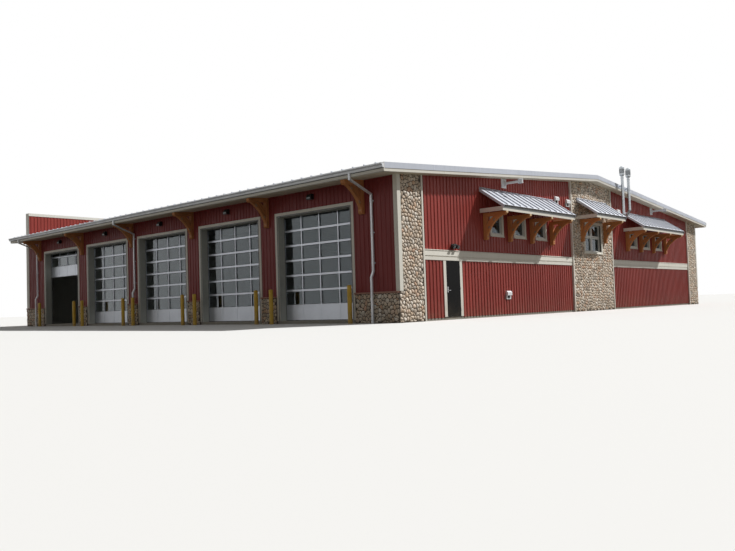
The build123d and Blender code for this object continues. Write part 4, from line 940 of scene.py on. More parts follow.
battens, gaskets, seals = newShape(), newShape(), newShape()
for index, bayX in enumerate(bayMiddles):
    lift = floorTop + (doors["raised"] if index == 0 else 0.0)
    rows = doors["raisedRows"] if index == 0 else doors["sections"]
    board = doors["batten"]
    for k in range(doors["across"] + 1):
        middle = bayX + (k - doors["across"] / 2) * lightPitch
        addPanel(battens, onCurtain, (middle - board / 2, lift + board),
                 (middle + board / 2, lift + sectionHeight - board), 0, doors["battenOut"])
    for height, wide in ((0.0, board), (sectionHeight - board, board - 0.005)):
        addPanel(battens, onCurtain, (bayX - halfOpening, lift + height + 0.001),
                 (bayX + halfOpening, lift + height + wide), 0, doors["battenOut"])
    for row in range(1, rows):
        base = lift + row * sectionHeight + doors["rail"] - doors["gasketLap"]
        top = lift + (row + 1) * sectionHeight - doors["sectionGap"] - doors["rail"] + doors["gasketLap"]
        for k in range(doors["across"]):
            low = bayX + (k - doors["across"] / 2) * lightPitch + doors["stile"] / 2
            addFrame(gaskets, onCurtain, (low - doors["gasketLap"], base),
                     (low + lightWidth + doors["gasketLap"], top), doors["gasket"], 0, doors["gasketOut"])
    for side in (-1, 1):
        edge = bayX + side * halfOpening
        addPanel(seals, onCurtain, (edge, floorTop), (edge - side * doors["seal"], openingTop),
                 doors["sealBack"], doors["sealFront"])
    addPanel(seals, onCurtain, (bayX - halfOpening, openingTop - doors["seal"]),
             (bayX + halfOpening, openingTop), doors["sealBack"], doors["sealFront"])
makePiece(battens, "door_section_battens", anodised)
makePiece(gaskets, "door_light_gaskets", rubberBlackAndPaintedShade)
makePiece(seals, "door_opening_seals", greyStripAndPaintedShade)
print("overhead doors dressed")

# Canopy roofs: ribbed sheets over a planked deck, white trims at the sloping sides, a flashing at the wall
canopyRoof = {"rise": 0.97, "board": 0.17, "slab": 0.055, "pitch": 0.51, "ribHigh": 0.045, "ribFoot": 0.034,
              "ribTop": 0.024, "sheet": 0.006, "deck": 0.045, "plank": 0.13, "gap": 0.003, "lip": 0.045,
              "trimTop": 0.06, "trimSide": 0.1, "trimThick": 0.004, "apron": 0.05, "upstand": 0.014,
              "flashing": 0.034, "stoneFlashing": 0.041, "paintedShadowBand": 0.076, "clear": 0.001}
closureOutline = ((0.035, -0.01), (0.006, -0.01), (0.006, 0.045), (0.035, 0.065))  # back from the board, up
canopyList = [
    (side * canopies["fromMiddle"], canopies["sideLength"], sideBottom, gableFace)
    for side in (-1, 1)
]
canopyList.append((0.0, canopies["centreLength"], centreBottom, gableFace + stonework["out"]))
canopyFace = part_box("canopy_boards")[1].x


def canopySlope(face, bottom):
    # places on a canopy's top: along the wall, down the slope from the wall, off the sheet
    run = gableFace + canopies["reach"] - face
    drop = canopyRoof["rise"] - canopyRoof["board"]
    length = math.hypot(run, drop)
    top = bottom + canopyRoof["board"] + drop + canopyRoof["slab"]

    def place(along, down, off):
        return (face + (down * run + off * drop) / length, along, top + (off * run - down * drop) / length)

    def startAt(off):
        return -off * drop / run

    def endAt(off):
        return (run * length - off * drop) / run

    return place, startAt, endAt


def addSloping(shape, outline, slope):
    # an outline of (along, off) points run down the whole slope
    place, startAt, endAt = slope
    addLoft(shape, [[place(y, reachAt(off), off) for y, off in outline] for reachAt in (startAt, endAt)])


def addAcross(shape, outline, slope, low, high, tone=plainTone):
    # an outline of (down, off) points run along the wall
    place = slope[0]
    addProfile(shape, outline, lambda down, off, along: place(along, down, off), low, high, tone)


def ribbedOutline(middle, low, high):
    # (along, off the deck) points of the ribbed sheet, with its ribs spaced about the middle
    foot, crown, ribHigh = canopyRoof["ribFoot"] / 2, canopyRoof["ribTop"] / 2, canopyRoof["ribHigh"]
    ribs = int((high - low) / canopyRoof["pitch"] - 0.1)
    outline = [(low, 0.0)]
    for k in range(ribs):
        y = middle + (k - (ribs - 1) / 2) * canopyRoof["pitch"]
        outline += [(y - foot, 0.0), (y - crown, ribHigh), (y + crown, ribHigh), (y + foot, 0.0)]
    return outline + [(high, 0.0), (high, -canopyRoof["sheet"]), (low, -canopyRoof["sheet"])]


canopySheets, canopyPlanks, canopyTrims, canopyClosuresAndShadowBands = newShape(), newShape(), newShape(), newShape()
for middle, length, bottom, face in canopyList:
    slope = canopySlope(face, bottom)
    place, startAt, endAt = slope
    low, high = middle - length / 2, middle + length / 2
    addSloping(canopySheets, ribbedOutline(middle, low, high), slope)
    # planks of the deck, laid along the wall
    first, last = startAt(-canopyRoof["deck"]), endAt(0.0) - canopyRoof["lip"]
    count = round((last - first) / canopyRoof["plank"])
    for k in range(count):
        start = first + (last - first) * k / count
        end = first + (last - first) * (k + 1) / count - canopyRoof["gap"]
        board = [(start, -canopyRoof["sheet"]), (start, -canopyRoof["deck"]),
                 (end, -canopyRoof["deck"]), (end, -canopyRoof["sheet"])]
        addAcross(canopyPlanks, board, slope, low + canopyRoof["clear"], high - canopyRoof["clear"],
                  dice.random())
    # trims folded over the two sloping edges
    thick, skin = canopyRoof["trimThick"], canopyRoof["clear"] / 2
    for side, edge in ((-1, low), (1, high)):
        outside, inside = edge + side * thick, edge - side * canopyRoof["trimTop"]
        foldedOutline = [(outside, thick), (inside, thick), (inside, skin), (edge, skin),
                         (edge, -canopyRoof["trimSide"]), (outside, -canopyRoof["trimSide"])]
        addSloping(canopyTrims, foldedOutline, slope)
    # flashing: an upstand on the wall and an apron over the ribs
    lift = canopyRoof["flashing"] if face == gableFace else canopyRoof["stoneFlashing"]
    top = place(0, 0, 0)[2]
    addBlock(canopyTrims, (face, low, top), (face + lift, high, top + canopyRoof["upstand"]))
    over, apron = canopyRoof["ribHigh"] + canopyRoof["clear"], canopyRoof["apron"]
    apronOutline = [(0.0, over), (apron, over), (apron, over + thick), (0.0, over + thick)]
    addAcross(canopyTrims, apronOutline, slope, low, high)
    # grey closure between the front board and the deck, and a grey band on the front board's upper part, a
    # painted shadow of the sheet's lip
    boardTop = bottom + canopyRoof["board"]
    addProfile(canopyClosuresAndShadowBands, [(canopyFace - back, boardTop + rise) for back, rise in closureOutline],
               alongY, low + 0.04, high - 0.04)
    # the grey band is a painted shadow of the sheet's lip on the front board
    addBlock(canopyClosuresAndShadowBands, (canopyFace - 0.001, low + 0.003, boardTop - canopyRoof["paintedShadowBand"]),
             (canopyFace + 0.004, high - 0.003, boardTop - 0.002))
canopyRoofPiece = makePiece(canopySheets, "canopy_roof_sheets", canopySheetMetal)
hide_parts("canopy_roofs")
makePiece(canopyPlanks, "canopy_deck_planks", deckTimber)
makePiece(canopyTrims, "canopy_trims", paleFlashing)
makePiece(canopyClosuresAndShadowBands, "canopy_eave_closures_and_shadow_bands", greyStripAndPaintedShade)
print("canopies roofed")

# Gutters: rolled front lip and a crease, straps across the top and end plates
gutterLow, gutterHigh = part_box("gutters")
gutterParts = {"strap": 0.025, "strapEvery": 0.9, "thick": 0.003, "wide": 0.12, "high": 0.15,
               "creaseDown": 0.16}
lipOutline = [(0.0, 0.0), (0.014, 0.0), (0.014, 0.006), (0.01, 0.01), (0.004, 0.01), (0.0, 0.006)]
creaseOutline = [(0.0, 0.0), (0.008, 0.0), (0.008, -0.005), (0.0, -0.005)]
endOutline = [(1.0, -1.0), (0.38, -1.0), (0.28, -0.55), (0.06, -0.3), (0.0, -0.16), (0.0, 0.0), (1.0, 0.0)]


def alongEave(mirror):
    # a profile of the front eave's (y, z) points run along it, or along the back eave where mirror is -1
    return lambda a, b, t: (t, mirror * a, b)


def addEaveBlock(shape, mirror, xs, ys, zs):
    outline = [(ys[0], zs[0]), (ys[1], zs[0]), (ys[1], zs[1]), (ys[0], zs[1])]
    addProfile(shape, outline, alongEave(mirror), *xs)


gutterPieces = newShape()
creaseDrop = gutterParts["high"] * gutterParts["creaseDown"]
plate = [
    (gutterLow.y + a * gutterParts["wide"], gutterHigh.z + b * gutterParts["high"])
    for a, b in endOutline
]
for mirror in (1, -1):
    for outline, drop in ((lipOutline, 0.0), (creaseOutline, creaseDrop)):
        placed = [(gutterLow.y + a, gutterHigh.z - drop + b) for a, b in outline]
        addProfile(gutterPieces, placed, alongEave(mirror), gutterLow.x, gutterHigh.x)
    for x in (gutterLow.x - gutterParts["thick"], gutterHigh.x):
        addProfile(gutterPieces, plate, alongEave(mirror), x, x + gutterParts["thick"])
    for k in range(int((gutterHigh.x - gutterLow.x) / gutterParts["strapEvery"])):
        x = gutterLow.x + (k + 0.5) * gutterParts["strapEvery"]
        addEaveBlock(gutterPieces, mirror, (x - gutterParts["strap"] / 2, x + gutterParts["strap"] / 2),
                     (gutterLow.y + 0.002, gutterLow.y + gutterParts["wide"]),
                     (gutterHigh.z, gutterHigh.z + gutterParts["thick"]))
makePiece(gutterPieces, "gutter_lips_and_straps", gutterEnamel)

# Roof edge: a folded cap on the end of every seam, and a grey strip on the fascia under the gutter, painted
# shade under the gutter
roofEdge = {"pitch": 0.53, "edgeGap": 0.2, "capLong": 0.1, "capWide": 0.042, "capHigh": 0.06,
            "capTail": 0.046, "strip": 0.022, "stripThick": 0.005}
seamEnds, fasciaShadeStrips = newShape(), newShape()
seamCount = int((rakeEdge - leftInside - 2 * roofEdge["edgeGap"]) / roofEdge["pitch"]) + 1
fasciaFace = gutterLow.y + gutterParts["wide"]
stripTop = gutterHigh.z - gutterParts["high"]
start, end = eaveEdge + 0.002, eaveEdge + roofEdge["capLong"]
capOutline = [(start, roofTopAt(start) - 0.01), (end, roofTopAt(end) - 0.01),
              (end, roofTopAt(end) + roofEdge["capTail"]), (start, roofTopAt(start) + roofEdge["capHigh"])]
for mirror in (1, -1):
    for k in range(seamCount):
        x = (leftInside + rakeEdge) / 2 + (k - (seamCount - 1) / 2) * roofEdge["pitch"]
        addProfile(seamEnds, capOutline, alongEave(mirror),
                   x - roofEdge["capWide"] / 2, x + roofEdge["capWide"] / 2)
    # the grey strip is painted shade under the gutter
    addEaveBlock(fasciaShadeStrips, mirror, (gutterLow.x + 0.01, gutterHigh.x - 0.01),
                 (fasciaFace - roofEdge["stripThick"], fasciaFace + 0.001),
                 (stripTop - roofEdge["strip"], stripTop + 0.002))
makePiece(seamEnds, "roof_seam_ends", paleFlashing)
makePiece(fasciaShadeStrips, "fascia_painted_shade_strips", greyStripAndPaintedShade)

# Downspouts: ribs pressed into the long run, straps back to the wall with screws, crimps at the bends
spouts = {"width": 0.08, "depth": 0.065, "standoff": 0.035, "rib": 0.012, "ribOut": 0.003, "strap": 0.035,
          "thick": 0.003, "tab": 0.04, "wallRun": (1.95, 4.58), "footRun": (0.03, 1.58), "footOut": 0.115,
          "straps": (4.4, 3.25, 2.15), "footStrap": 0.62, "footWall": 0.06, "tabOut": 0.024,
          "footTabOut": 0.036, "crimp": 0.02, "crimpOver": 0.002, "crimpOut": 0.004,
          "beside": ((0, -0.407), (2, 0.223), (5, 0.48))}  # which bracket, and how far along from it
spoutPieces = newShape()


def addSpoutRun(place, x, bottom, top, extra):
    # three pressed ribs up one straight run and a crimp at each end of it
    half, front = spouts["width"] / 2, extra + spouts["standoff"] + spouts["depth"]

    def upright(along, out, up):
        return place(x + along, out, up)

    for across in (-0.5, 0.0, 0.5):
        middle, foot, crown = across * half, spouts["rib"] / 2, spouts["rib"] / 4
        rib = [(middle - foot, front - 0.001), (middle - crown, front + spouts["ribOut"]),
               (middle + crown, front + spouts["ribOut"]), (middle + foot, front - 0.001)]
        addProfile(spoutPieces, rib, upright, bottom, top)
    side, over = half + spouts["crimpOver"], spouts["crimpOver"]
    band = [(-side, front - spouts["depth"] - over), (-side, front + spouts["crimpOut"]),
            (side, front + spouts["crimpOut"]), (side, front - spouts["depth"] - over)]
    for z in (bottom + spouts["crimp"], top - spouts["crimp"]):
        addProfile(spoutPieces, band, upright, z - spouts["crimp"] / 2, z + spouts["crimp"] / 2)


def addSpoutStrap(place, x, z, extra, wallOut, tabOut, outward):
    # a strap round the run, and a screwed tab on the wall at each side
    half, thick = spouts["width"] / 2, spouts["thick"]
    outer = half + thick
    front = extra + spouts["standoff"] + spouts["depth"] + spouts["ribOut"]
    top = z + spouts["strap"]
    addPanel(spoutPieces, place, (x - outer, z), (x + outer, top), front, front + thick)
    for side in (-1, 1):
        addPanel(spoutPieces, place, (x + side * outer, z), (x + side * half, top), wallOut, front)
        addPanel(spoutPieces, place, (x + side * half, z), (x + side * (half + spouts["tab"]), top),
                 tabOut, tabOut + thick)
        screwAt = place(x + side * (half + spouts["tab"] * 0.6), tabOut + thick, z + spouts["strap"] / 2)
        addHead(spoutPieces, screwAt, (0, outward, 0), 0.006, 0.004, 0.005, 0.004, sunk=0.001)


for place, outward in ((onFront, -1), (onBack, 1)):
    for bracket, aside in spouts["beside"]:
        x = bracketMiddles[bracket] + aside
        addSpoutRun(place, x, *spouts["wallRun"], 0.0)
        addSpoutRun(place, x, *spouts["footRun"], spouts["footOut"])
        for z in spouts["straps"]:
            addSpoutStrap(place, x, z, 0.0, 0.0, spouts["tabOut"], outward)
        addSpoutStrap(place, x, spouts["footStrap"], spouts["footOut"], spouts["footWall"],
                      spouts["footWall"] + spouts["footTabOut"], outward)
makePiece(spoutPieces, "downspout_straps_and_ribs", gutterEnamel)
print("gutters and downspouts fitted")

# Wall vents: cheeks, a black back and three black blades under each hood, painted shade inside the opening
vents = {"size": 0.35, "open": (-0.15, -0.015), "recess": 0.035, "cheek": 0.095, "cheekOut": 0.055,
         "blades": 3, "topBlade": 0.012, "high": ((-1.385, 0.06), (-0.255, 0.01), (5.595, -0.035)),
         "lowBeside": 1.17, "lowHeight": 0.77, "screwAside": 0.15, "screws": ((0.155, 0.06), (-0.162, 0.055))}
bladeOutline = [(0.004, 0.0), (0.018, -0.026), (0.018, -0.029), (0.001, -0.003)]
ventPlaces = [(-centreEdge + aside, soffitAt(frontFace) + lift) for aside, lift in vents["high"]]
ventPlaces.append((-canopies["fromMiddle"] - vents["lowBeside"], floorTop + vents["lowHeight"]))
ventCheeks, ventBacksPaintedShade = newShape(), newShape()
for y, z in ventPlaces:
    low, high = (z + rise for rise in vents["open"])
    inner = vents["size"] / 2 - vents["cheek"]
    back = vents["recess"] - 0.001
    # the black back and blades are painted shade inside the vent's opening
    addPanel(ventBacksPaintedShade, onGable, (y - inner, low), (y + inner, high), back, vents["recess"] + 0.003)
    for k in range(vents["blades"]):
        top = high - vents["topBlade"] - k * (high - low) / vents["blades"]
        blade = [(gableFace + vents["recess"] + out, top + rise) for out, rise in bladeOutline]
        addProfile(ventBacksPaintedShade, blade, alongY, y - inner, y + inner)
    for side in (-1, 1):
        addPanel(ventCheeks, onGable, (y + side * inner, low), (y + side * vents["size"] / 2, high), back,
                 vents["cheekOut"])
        for rise, out in vents["screws"]:
            addHead(ventCheeks, onGable(y + side * vents["screwAside"], out, z + rise), outOfGable,
                    0.006, 0.003, 0.004, 0.004)
makePiece(ventCheeks, "vent_blades", lampWhite)
makePiece(ventBacksPaintedShade, "vent_painted_shade_backs", rubberBlackAndPaintedShade)

# Lamps over the overhead doors: rims, lenses, cooling fins and a knuckle on top
lamps = {"wide": 0.26, "deep": 0.19, "high": 0.21, "above": 0.434, "rim": 0.014, "rimOut": 0.008, "fins": 4,
         "finPitch": 0.022, "finThick": 0.01, "finOut": 0.004}
lampRims, lampLenses = newShape(), newShape()
lampZ = casingTop + lamps["above"]
lampFoot, lampHead = lampZ - lamps["high"] / 2, lampZ + lamps["high"] / 2
for x in bayMiddles:
    wide, deep = lamps["wide"] / 2, lamps["deep"]
    addFrame(lampRims, onFront, (x - wide + 0.012, lampFoot + 0.01), (x + wide - 0.012, lampZ - 0.008),
             lamps["rim"], deep - 0.002, deep + lamps["rimOut"])
    addPanel(lampLenses, onFront, (x - wide + 0.026, lampFoot + 0.024), (x + wide - 0.026, lampZ - 0.022),
             deep - 0.001, deep + 0.005)
    addPanel(lampLenses, onFront, (x - wide + 0.03, lampFoot - 0.004), (x + wide - 0.03, lampFoot + 0.001),
             0.05, deep - 0.02)
    for side in (-1, 1):
        for k in range(lamps["fins"]):
            out = 0.02 + k * lamps["finPitch"]
            addPanel(lampRims, onFront, (x + side * wide, lampFoot + 0.02),
                     (x + side * (wide + lamps["finOut"]), lampHead - 0.02), out, out + lamps["finThick"])
    addHead(lampRims, onFront(x, 0.055, lampHead), upward, 0.016, 0.02, 0.024, 0.012, sides=12)

# The twin lamp beside the man door: rims, lenses and cooling rings on both heads
doorLamp = {"y": 3.3, "z": 2.7, "box": 0.15, "spread": 0.13, "radius": 0.074, "long": 0.14, "rings": 4,
            "ringPitch": 0.018, "sides": 24}
tilt = Vector((1, 0, -0.5)).normalized()
for side in (-1, 1):
    back = Vector((gableFace + doorLamp["box"] / 2, frontFace + doorLamp["y"] + side * doorLamp["spread"],
                   floorTop + doorLamp["z"]))
    radius, long, sides = doorLamp["radius"], doorLamp["long"], doorLamp["sides"]
    rim = [(long - 0.03, radius - 0.001), (long - 0.03, radius + 0.006), (long + 0.004, radius + 0.008),
           (long + 0.004, radius - 0.008), (long - 0.004, radius - 0.008)]
    lens = [(long - 0.002, radius - 0.009), (long + 0.003, radius - 0.009), (long + 0.009, radius * 0.6),
            (long + 0.011, radius * 0.25)]
    addTurned(lampRims, back, tilt, rim, sides)
    addTurned(lampLenses, back, tilt, lens, sides)
    for k in range(doorLamp["rings"]):
        start = 0.02 + k * doorLamp["ringPitch"]
        ring = [(start, radius - 0.001), (start + 0.002, radius + 0.006), (start + 0.008, radius + 0.006),
                (start + 0.01, radius - 0.001)]
        addTurned(lampRims, back, tilt, ring, sides)

# Lamps on arms high on the gable: cap, shade rim, lens, wall plate bolts and gussets on the arm
armLamps = {"out": 0.83, "radius": 0.105, "high": 0.15, "arm": 0.085, "beside": (1.17, 0.97), "below": 0.222,
            "boltOut": 0.03, "boltAside": 0.155, "boltUp": 0.16, "gusset": 0.005, "sides": 28}
gussetOutline = ((0.03, 0.0), (0.03, 0.13), (0.17, 0.0))
armRims = newShape()
for wallSide, beside in zip((-1, 1), armLamps["beside"]):
    y = wallSide * (canopies["fromMiddle"] + beside)
    z = soffitAt(y) - armLamps["below"]
    centre = (gableFace + armLamps["out"], y, z)
    radius, high, sides = armLamps["radius"], armLamps["high"] / 2, armLamps["sides"]
    cap = [(high - 0.004, radius - 0.002), (high, radius + 0.008), (high + 0.01, radius + 0.008),
           (high + 0.03, radius * 0.75), (high + 0.04, radius * 0.3)]
    rim = [(high - 0.02, radius - 0.002), (high - 0.02, radius + 0.007), (high + 0.006, radius + 0.007),
           (high + 0.006, radius - 0.012), (high - 0.002, radius - 0.012)]
    lens = [(high - 0.004, radius - 0.014), (high + 0.012, radius - 0.02), (high + 0.024, radius * 0.5),
            (high + 0.027, radius * 0.2)]
    addTurned(armRims, centre, upward, cap, sides)
    addTurned(armRims, centre, downward, rim, sides)
    addTurned(lampLenses, centre, downward, lens, sides)
    for side in (-1, 1):
        for rise in (-armLamps["boltUp"], armLamps["boltUp"]):
            boltAt = onGable(y + side * armLamps["boltAside"], armLamps["boltOut"], z + rise)
            addHead(armRims, boltAt, outOfGable, 0.011, 0.006, 0.008, 0.008)
        armEdge = armLamps["arm"] / 2 - 0.002
        gusset = [(gableFace + out, z + side * (armEdge + rise)) for out, rise in gussetOutline]
        addProfile(armRims, gusset, alongY, y - armLamps["gusset"], y + armLamps["gusset"])
makePiece(lampRims, "lamp_rims_and_fins", lampBlack, smoothAngle=35)
makePiece(lampLenses, "lamp_lenses", lampLens, smoothAngle=35)
makePiece(armRims, "arm_light_rims", lampWhite, smoothAngle=35)
print("lamps and vents finished")

# Timber brackets: washers and bolt heads on posts, oval plates on both sides of each brace
ironwork = {"washer": 0.032, "washerThick": 0.006, "head": 0.017, "headHigh": 0.014, "plateLong": 0.07,
            "plateWide": 0.045, "plateThick": 0.007, "plateSides": 20}
eaveBracket = {"postOut": 0.15, "postLong": 1.27, "half": 0.07, "bolts": (0.14, 0.62, 1.13),
               "plates": ((0.09, 0.44), (0.50, 0.90)), "lean": (0.6, 0.8)}
canopyBracket = {"postOut": 0.18, "postLong": 1.09, "half": 0.055, "bolts": (0.13, 0.95),
                 "plates": ((0.10, 0.5), (0.34, 0.79)), "lean": (0.6, 0.8), "sidePitch": 1.86,
                 "centreAside": 1.3, "endHalf": 0.074, "endHigh": 0.076, "endThick": 0.006}


def addBolt(shape, centre, axis):
    washer, head = ironwork["washer"], ironwork["head"]
    start, high = ironwork["washerThick"], ironwork["headHigh"]
    addTurned(shape, centre, axis, [(-0.002, washer), (start, washer)], 16)
    addTurned(shape, centre, axis, [(0.0, head), (start + high * 0.8, head), (start + high, head * 0.75)], 6)


def addOvalPlate(shape, centre, axis, along):
    centre, axis, along = Vector(centre), Vector(axis), Vector(along).normalized()
    across = axis.cross(along)
    thick, count = ironwork["plateThick"], ironwork["plateSides"]

    def rimAt(turn):
        onLength = along * math.cos(turn) * ironwork["plateLong"]
        return onLength + across * math.sin(turn) * ironwork["plateWide"]

    turns = [2 * math.pi * k / count for k in range(count)]
    addLoft(shape, [[tuple(centre + axis * out + rimAt(turn) * grow) for turn in turns]
                    for out, grow in ((-0.002, 1.0), (thick, 1.0), (thick + 0.002, 0.9))])
    addTurned(shape, centre + axis * thick, axis, [(0.0, 0.016), (0.012, 0.016), (0.014, 0.011)], 6)


eaveIron = newShape()
postFace = frontFace - eaveBracket["postOut"]
postFoot = soffitAt(frontFace) - eaveBracket["postLong"]
for x in bracketMiddles:
    for mirror in (1, -1):
        for height in eaveBracket["bolts"]:
            addBolt(eaveIron, (x, mirror * postFace, postFoot + height), (0, -mirror, 0))
        for side in (-1, 1):
            for out, rise in eaveBracket["plates"]:
                centre = (x + side * eaveBracket["half"], mirror * (postFace - out), postFoot + rise)
                addOvalPlate(eaveIron, centre, (side, 0, 0),
                             (0, -mirror * eaveBracket["lean"][0], eaveBracket["lean"][1]))
makePiece(eaveIron, "eave_bracket_ironwork", agedIron, smoothAngle=35)

canopyIron, canopyEnds = newShape(), newShape()
sidePlaces = [canopyBracket["sidePitch"] * k for k in (-1.5, -0.5, 0.5, 1.5)]
centrePlaces = [-canopyBracket["centreAside"], canopyBracket["centreAside"]]
for middle, length, top, face in canopyList:
    face, foot = face + canopyBracket["postOut"], top - canopyBracket["postLong"]
    half, endThick = canopyBracket["endHalf"], canopyBracket["endThick"]
    for y in (middle + aside for aside in (sidePlaces if middle else centrePlaces)):
        for height in canopyBracket["bolts"]:
            addBolt(canopyIron, (face, y, foot + height), outOfGable)
        for side in (-1, 1):
            for out, rise in canopyBracket["plates"]:
                centre = (face + out, y + side * canopyBracket["half"], foot + rise)
                addOvalPlate(canopyIron, centre, (0, side, 0),
                             (canopyBracket["lean"][0], 0, canopyBracket["lean"][1]))
        # the end of each beam, painted pale as a painted highlight of sunlit end grain, with a thin shadow
        # strip under it
        addBlock(canopyEnds, (canopyFace, y - half, top - canopyBracket["endHigh"]),
                 (canopyFace + endThick, y + half, top - 0.001))
        addBlock(canopyEnds, (canopyFace, y - half, top - canopyBracket["endHigh"] - 0.004),
                 (canopyFace + endThick, y + half, top - canopyBracket["endHigh"]))
makePiece(canopyIron, "canopy_bracket_ironwork", agedIron, smoothAngle=35)
makePiece(canopyEnds, "canopy_beam_ends", endGrainPaintedHighlight)
print("brackets bolted")

# Flues: clamp bands at each joint, wall plates, strap rings and slotted caps
flues = {"beside": (0.285, 1.085), "plateBelow": 0.32, "stand": 0.65, "radius": 0.075,
         "bands": (5.78, 6.36, 6.94), "capLow": 7.12, "capHigh": 7.52, "capRadius": 0.13, "slots": 14,
         "slotHalf": 0.016, "slotInset": 0.08, "plate": 0.14, "strapBelow": 0.095, "strapHigh": 0.064,
         "capBand": 0.03, "sides": 28}
flueBands, flueSlotShade = newShape(), newShape()
radius, cap, sides = flues["radius"], flues["capRadius"], flues["sides"]
clampOutline = [(0, radius - 0.001), (0, radius + 0.004), (0.006, radius + 0.007), (0.034, radius + 0.007),
                (0.04, radius + 0.004), (0.04, radius - 0.001)]
plateOutline = [(0, flues["plate"]), (0.032, flues["plate"]), (0.036, flues["plate"] - 0.008),
                (0.05, radius + 0.012), (0.06, radius + 0.002)]
coneOutline = [(0, radius - 0.001), (0, radius + 0.006), (0.06, cap * 0.9), (0.06, radius - 0.001)]
x = gableFace + flues["stand"]
for y in (centreEdge + beside for beside in flues["beside"]):
    for z in flues["bands"]:
        addTurned(flueBands, (x, y, z), upward, clampOutline, sides)
        addBlock(flueBands, (x + radius + 0.004, y - 0.012, z + 0.008),
                 (x + radius + 0.018, y + 0.012, z + 0.032))
    strapZ = roofTopAt(y) - flues["strapBelow"] - flues["strapHigh"] / 2
    addCollar(flueBands, (x, y, strapZ), upward, flues["strapHigh"], radius, sides)
    plateAt = onGable(y, 0, soffitAt(frontFace) - flues["plateBelow"])
    addTurned(flueBands, plateAt, outOfGable, plateOutline, sides)
    for z in (flues["capLow"], flues["capHigh"] - flues["capBand"]):
        addCollar(flueBands, (x, y, z), upward, flues["capBand"], cap, sides)
    addTurned(flueBands, (x, y, flues["capLow"] - 0.06), upward, coneOutline, sides)
    # black blocks in the cap's slots: painted shade inside the cap
    for k in range(flues["slots"]):
        turn = 2 * math.pi * k / flues["slots"]
        radial = Vector((math.cos(turn), math.sin(turn), 0))
        tangent = Vector((-math.sin(turn), math.cos(turn), 0))
        half = flues["slotHalf"]
        corners = [radial * (cap + out) + tangent * side
                   for out, side in ((-0.006, -half), (0.002, -half), (0.002, half), (-0.006, half))]
        ends = (flues["capLow"] + flues["slotInset"], flues["capHigh"] - flues["slotInset"])
        addLoft(flueSlotShade, [[(x + corner.x, y + corner.y, z) for corner in corners] for z in ends])
makePiece(flueBands, "flue_bands", flueSheet, smoothAngle=35)
makePiece(flueSlotShade, "flue_cap_slot_painted_shade", rubberBlackAndPaintedShade)

# Windows: sills, drip caps, glazing beads and gaskets
glazing = {"bead": 0.014, "sash": 0.045, "sashFront": -0.015, "glass": -0.075, "mullion": 0.18, "rail": 0.13,
           "railUp": 0.06, "groove": 0.004, "screws": 3, "screwIn": 0.06, "screwUp": 0.12}
sillOutline = [(-0.001, 0.0), (0.03, 0.0), (0.03, 0.02), (-0.001, 0.034)]  # out of the trim, up from its foot
dripOutline = [(-0.001, -0.02), (0.022, -0.026), (0.022, -0.018), (-0.001, -0.008)]  # down from its head
windowSills, windowBeads, windowGaskets = newShape(), newShape(), newShape()


def panesOf(reachY, reachZ, parted):
    # low and high corners of the glass about a window's middle: one light, or four about a mullion and a rail
    if not parted:
        return [(-reachY, reachY, -reachZ, reachZ)]
    mullion, rail = glazing["mullion"] / 2, glazing["rail"] / 2
    columns = ((-reachY, -mullion), (mullion, reachY))
    rows = ((-reachZ, glazing["railUp"] - rail), (glazing["railUp"] + rail, reachZ))
    return [(a, b, c, d) for a, b in columns for c, d in rows]


def dressWindow(y, z, wide, high, face):
    # face: how far out the wall stands there; only the window set in the stone has four lights
    out = face + windows["trimOut"]
    bottom, top = z - high / 2, z + high / 2
    for outline, base in ((sillOutline, bottom), (dripOutline, top)):
        placed = [(gableFace + (out + a), base + b) for a, b in outline]
        addProfile(windowSills, placed, alongY, y - wide / 2, y + wide / 2)
    inset = windows["border"] + glazing["sash"]
    reachY, reachZ = wide / 2 - inset, high / 2 - inset
    if face:
        # the groove between the four sashes
        groove, front = glazing["groove"], glazing["sashFront"]
        addPanel(windowGaskets, onGable, (y - groove, z - reachZ), (y + groove, z + reachZ),
                 front - 0.002, front + 0.001)
        addPanel(windowGaskets, onGable, (y - reachY, z + glazing["railUp"] - groove),
                 (y + reachY, z + glazing["railUp"] + groove), front - 0.002, front + 0.001)
    glass, bead = glazing["glass"], glazing["bead"]
    for a, b, c, d in panesOf(reachY, reachZ, face):
        addFrame(windowBeads, onGable, (y + a, z + c), (y + b, z + d), bead, glass + 0.002, glass + 0.02)
        addFrame(windowGaskets, onGable, (y + a, z + c), (y + b, z + d), bead + 0.006, glass, glass + 0.004)
    # screw covers along the trim
    for side in (-1, 1):
        for k in range(glazing["screws"]):
            rise = glazing["screwUp"] + k * (high - 2 * glazing["screwUp"]) / (glazing["screws"] - 1)
            screwAt = onGable(y + side * (wide / 2 - glazing["screwIn"]), out, bottom + rise)
            addHead(windowSills, screwAt, outOfGable, 0.008, 0.002, 0.004, 0.005, sides=8)


for y, z in smallWindows:
    dressWindow(y, z, windows["width"], windows["height"], 0.0)
dressWindow(*centreWindow, windows["centreWidth"], windows["centreHeight"], stonework["out"])
makePiece(windowSills, "window_sills", creamEnamel)
makePiece(windowBeads, "window_beads", whiteVinyl)
makePiece(windowGaskets, "window_gaskets", rubberBlackAndPaintedShade)
print("flues and windows finished")

# Belt: an upper board lapped over the lower one
beltLap = {"from": 0.165, "below": 0.048, "face": 0.045, "thick": 0.013}
lapLow, lapHigh = beltLow + beltLap["from"], beltHigh - beltLap["below"]
lapFace = beltLap["face"] + beltLap["thick"]
beltBoards = newShape()
for low, high in sheetSpans:
    for place in (onGable, onEndWall):
        addPanel(beltBoards, place, (low + 0.001, lapLow), (high - 0.001, lapHigh),
                 beltLap["face"] - 0.001, lapFace)
makePiece(beltBoards, "belt_lapped_boards", creamEnamel)

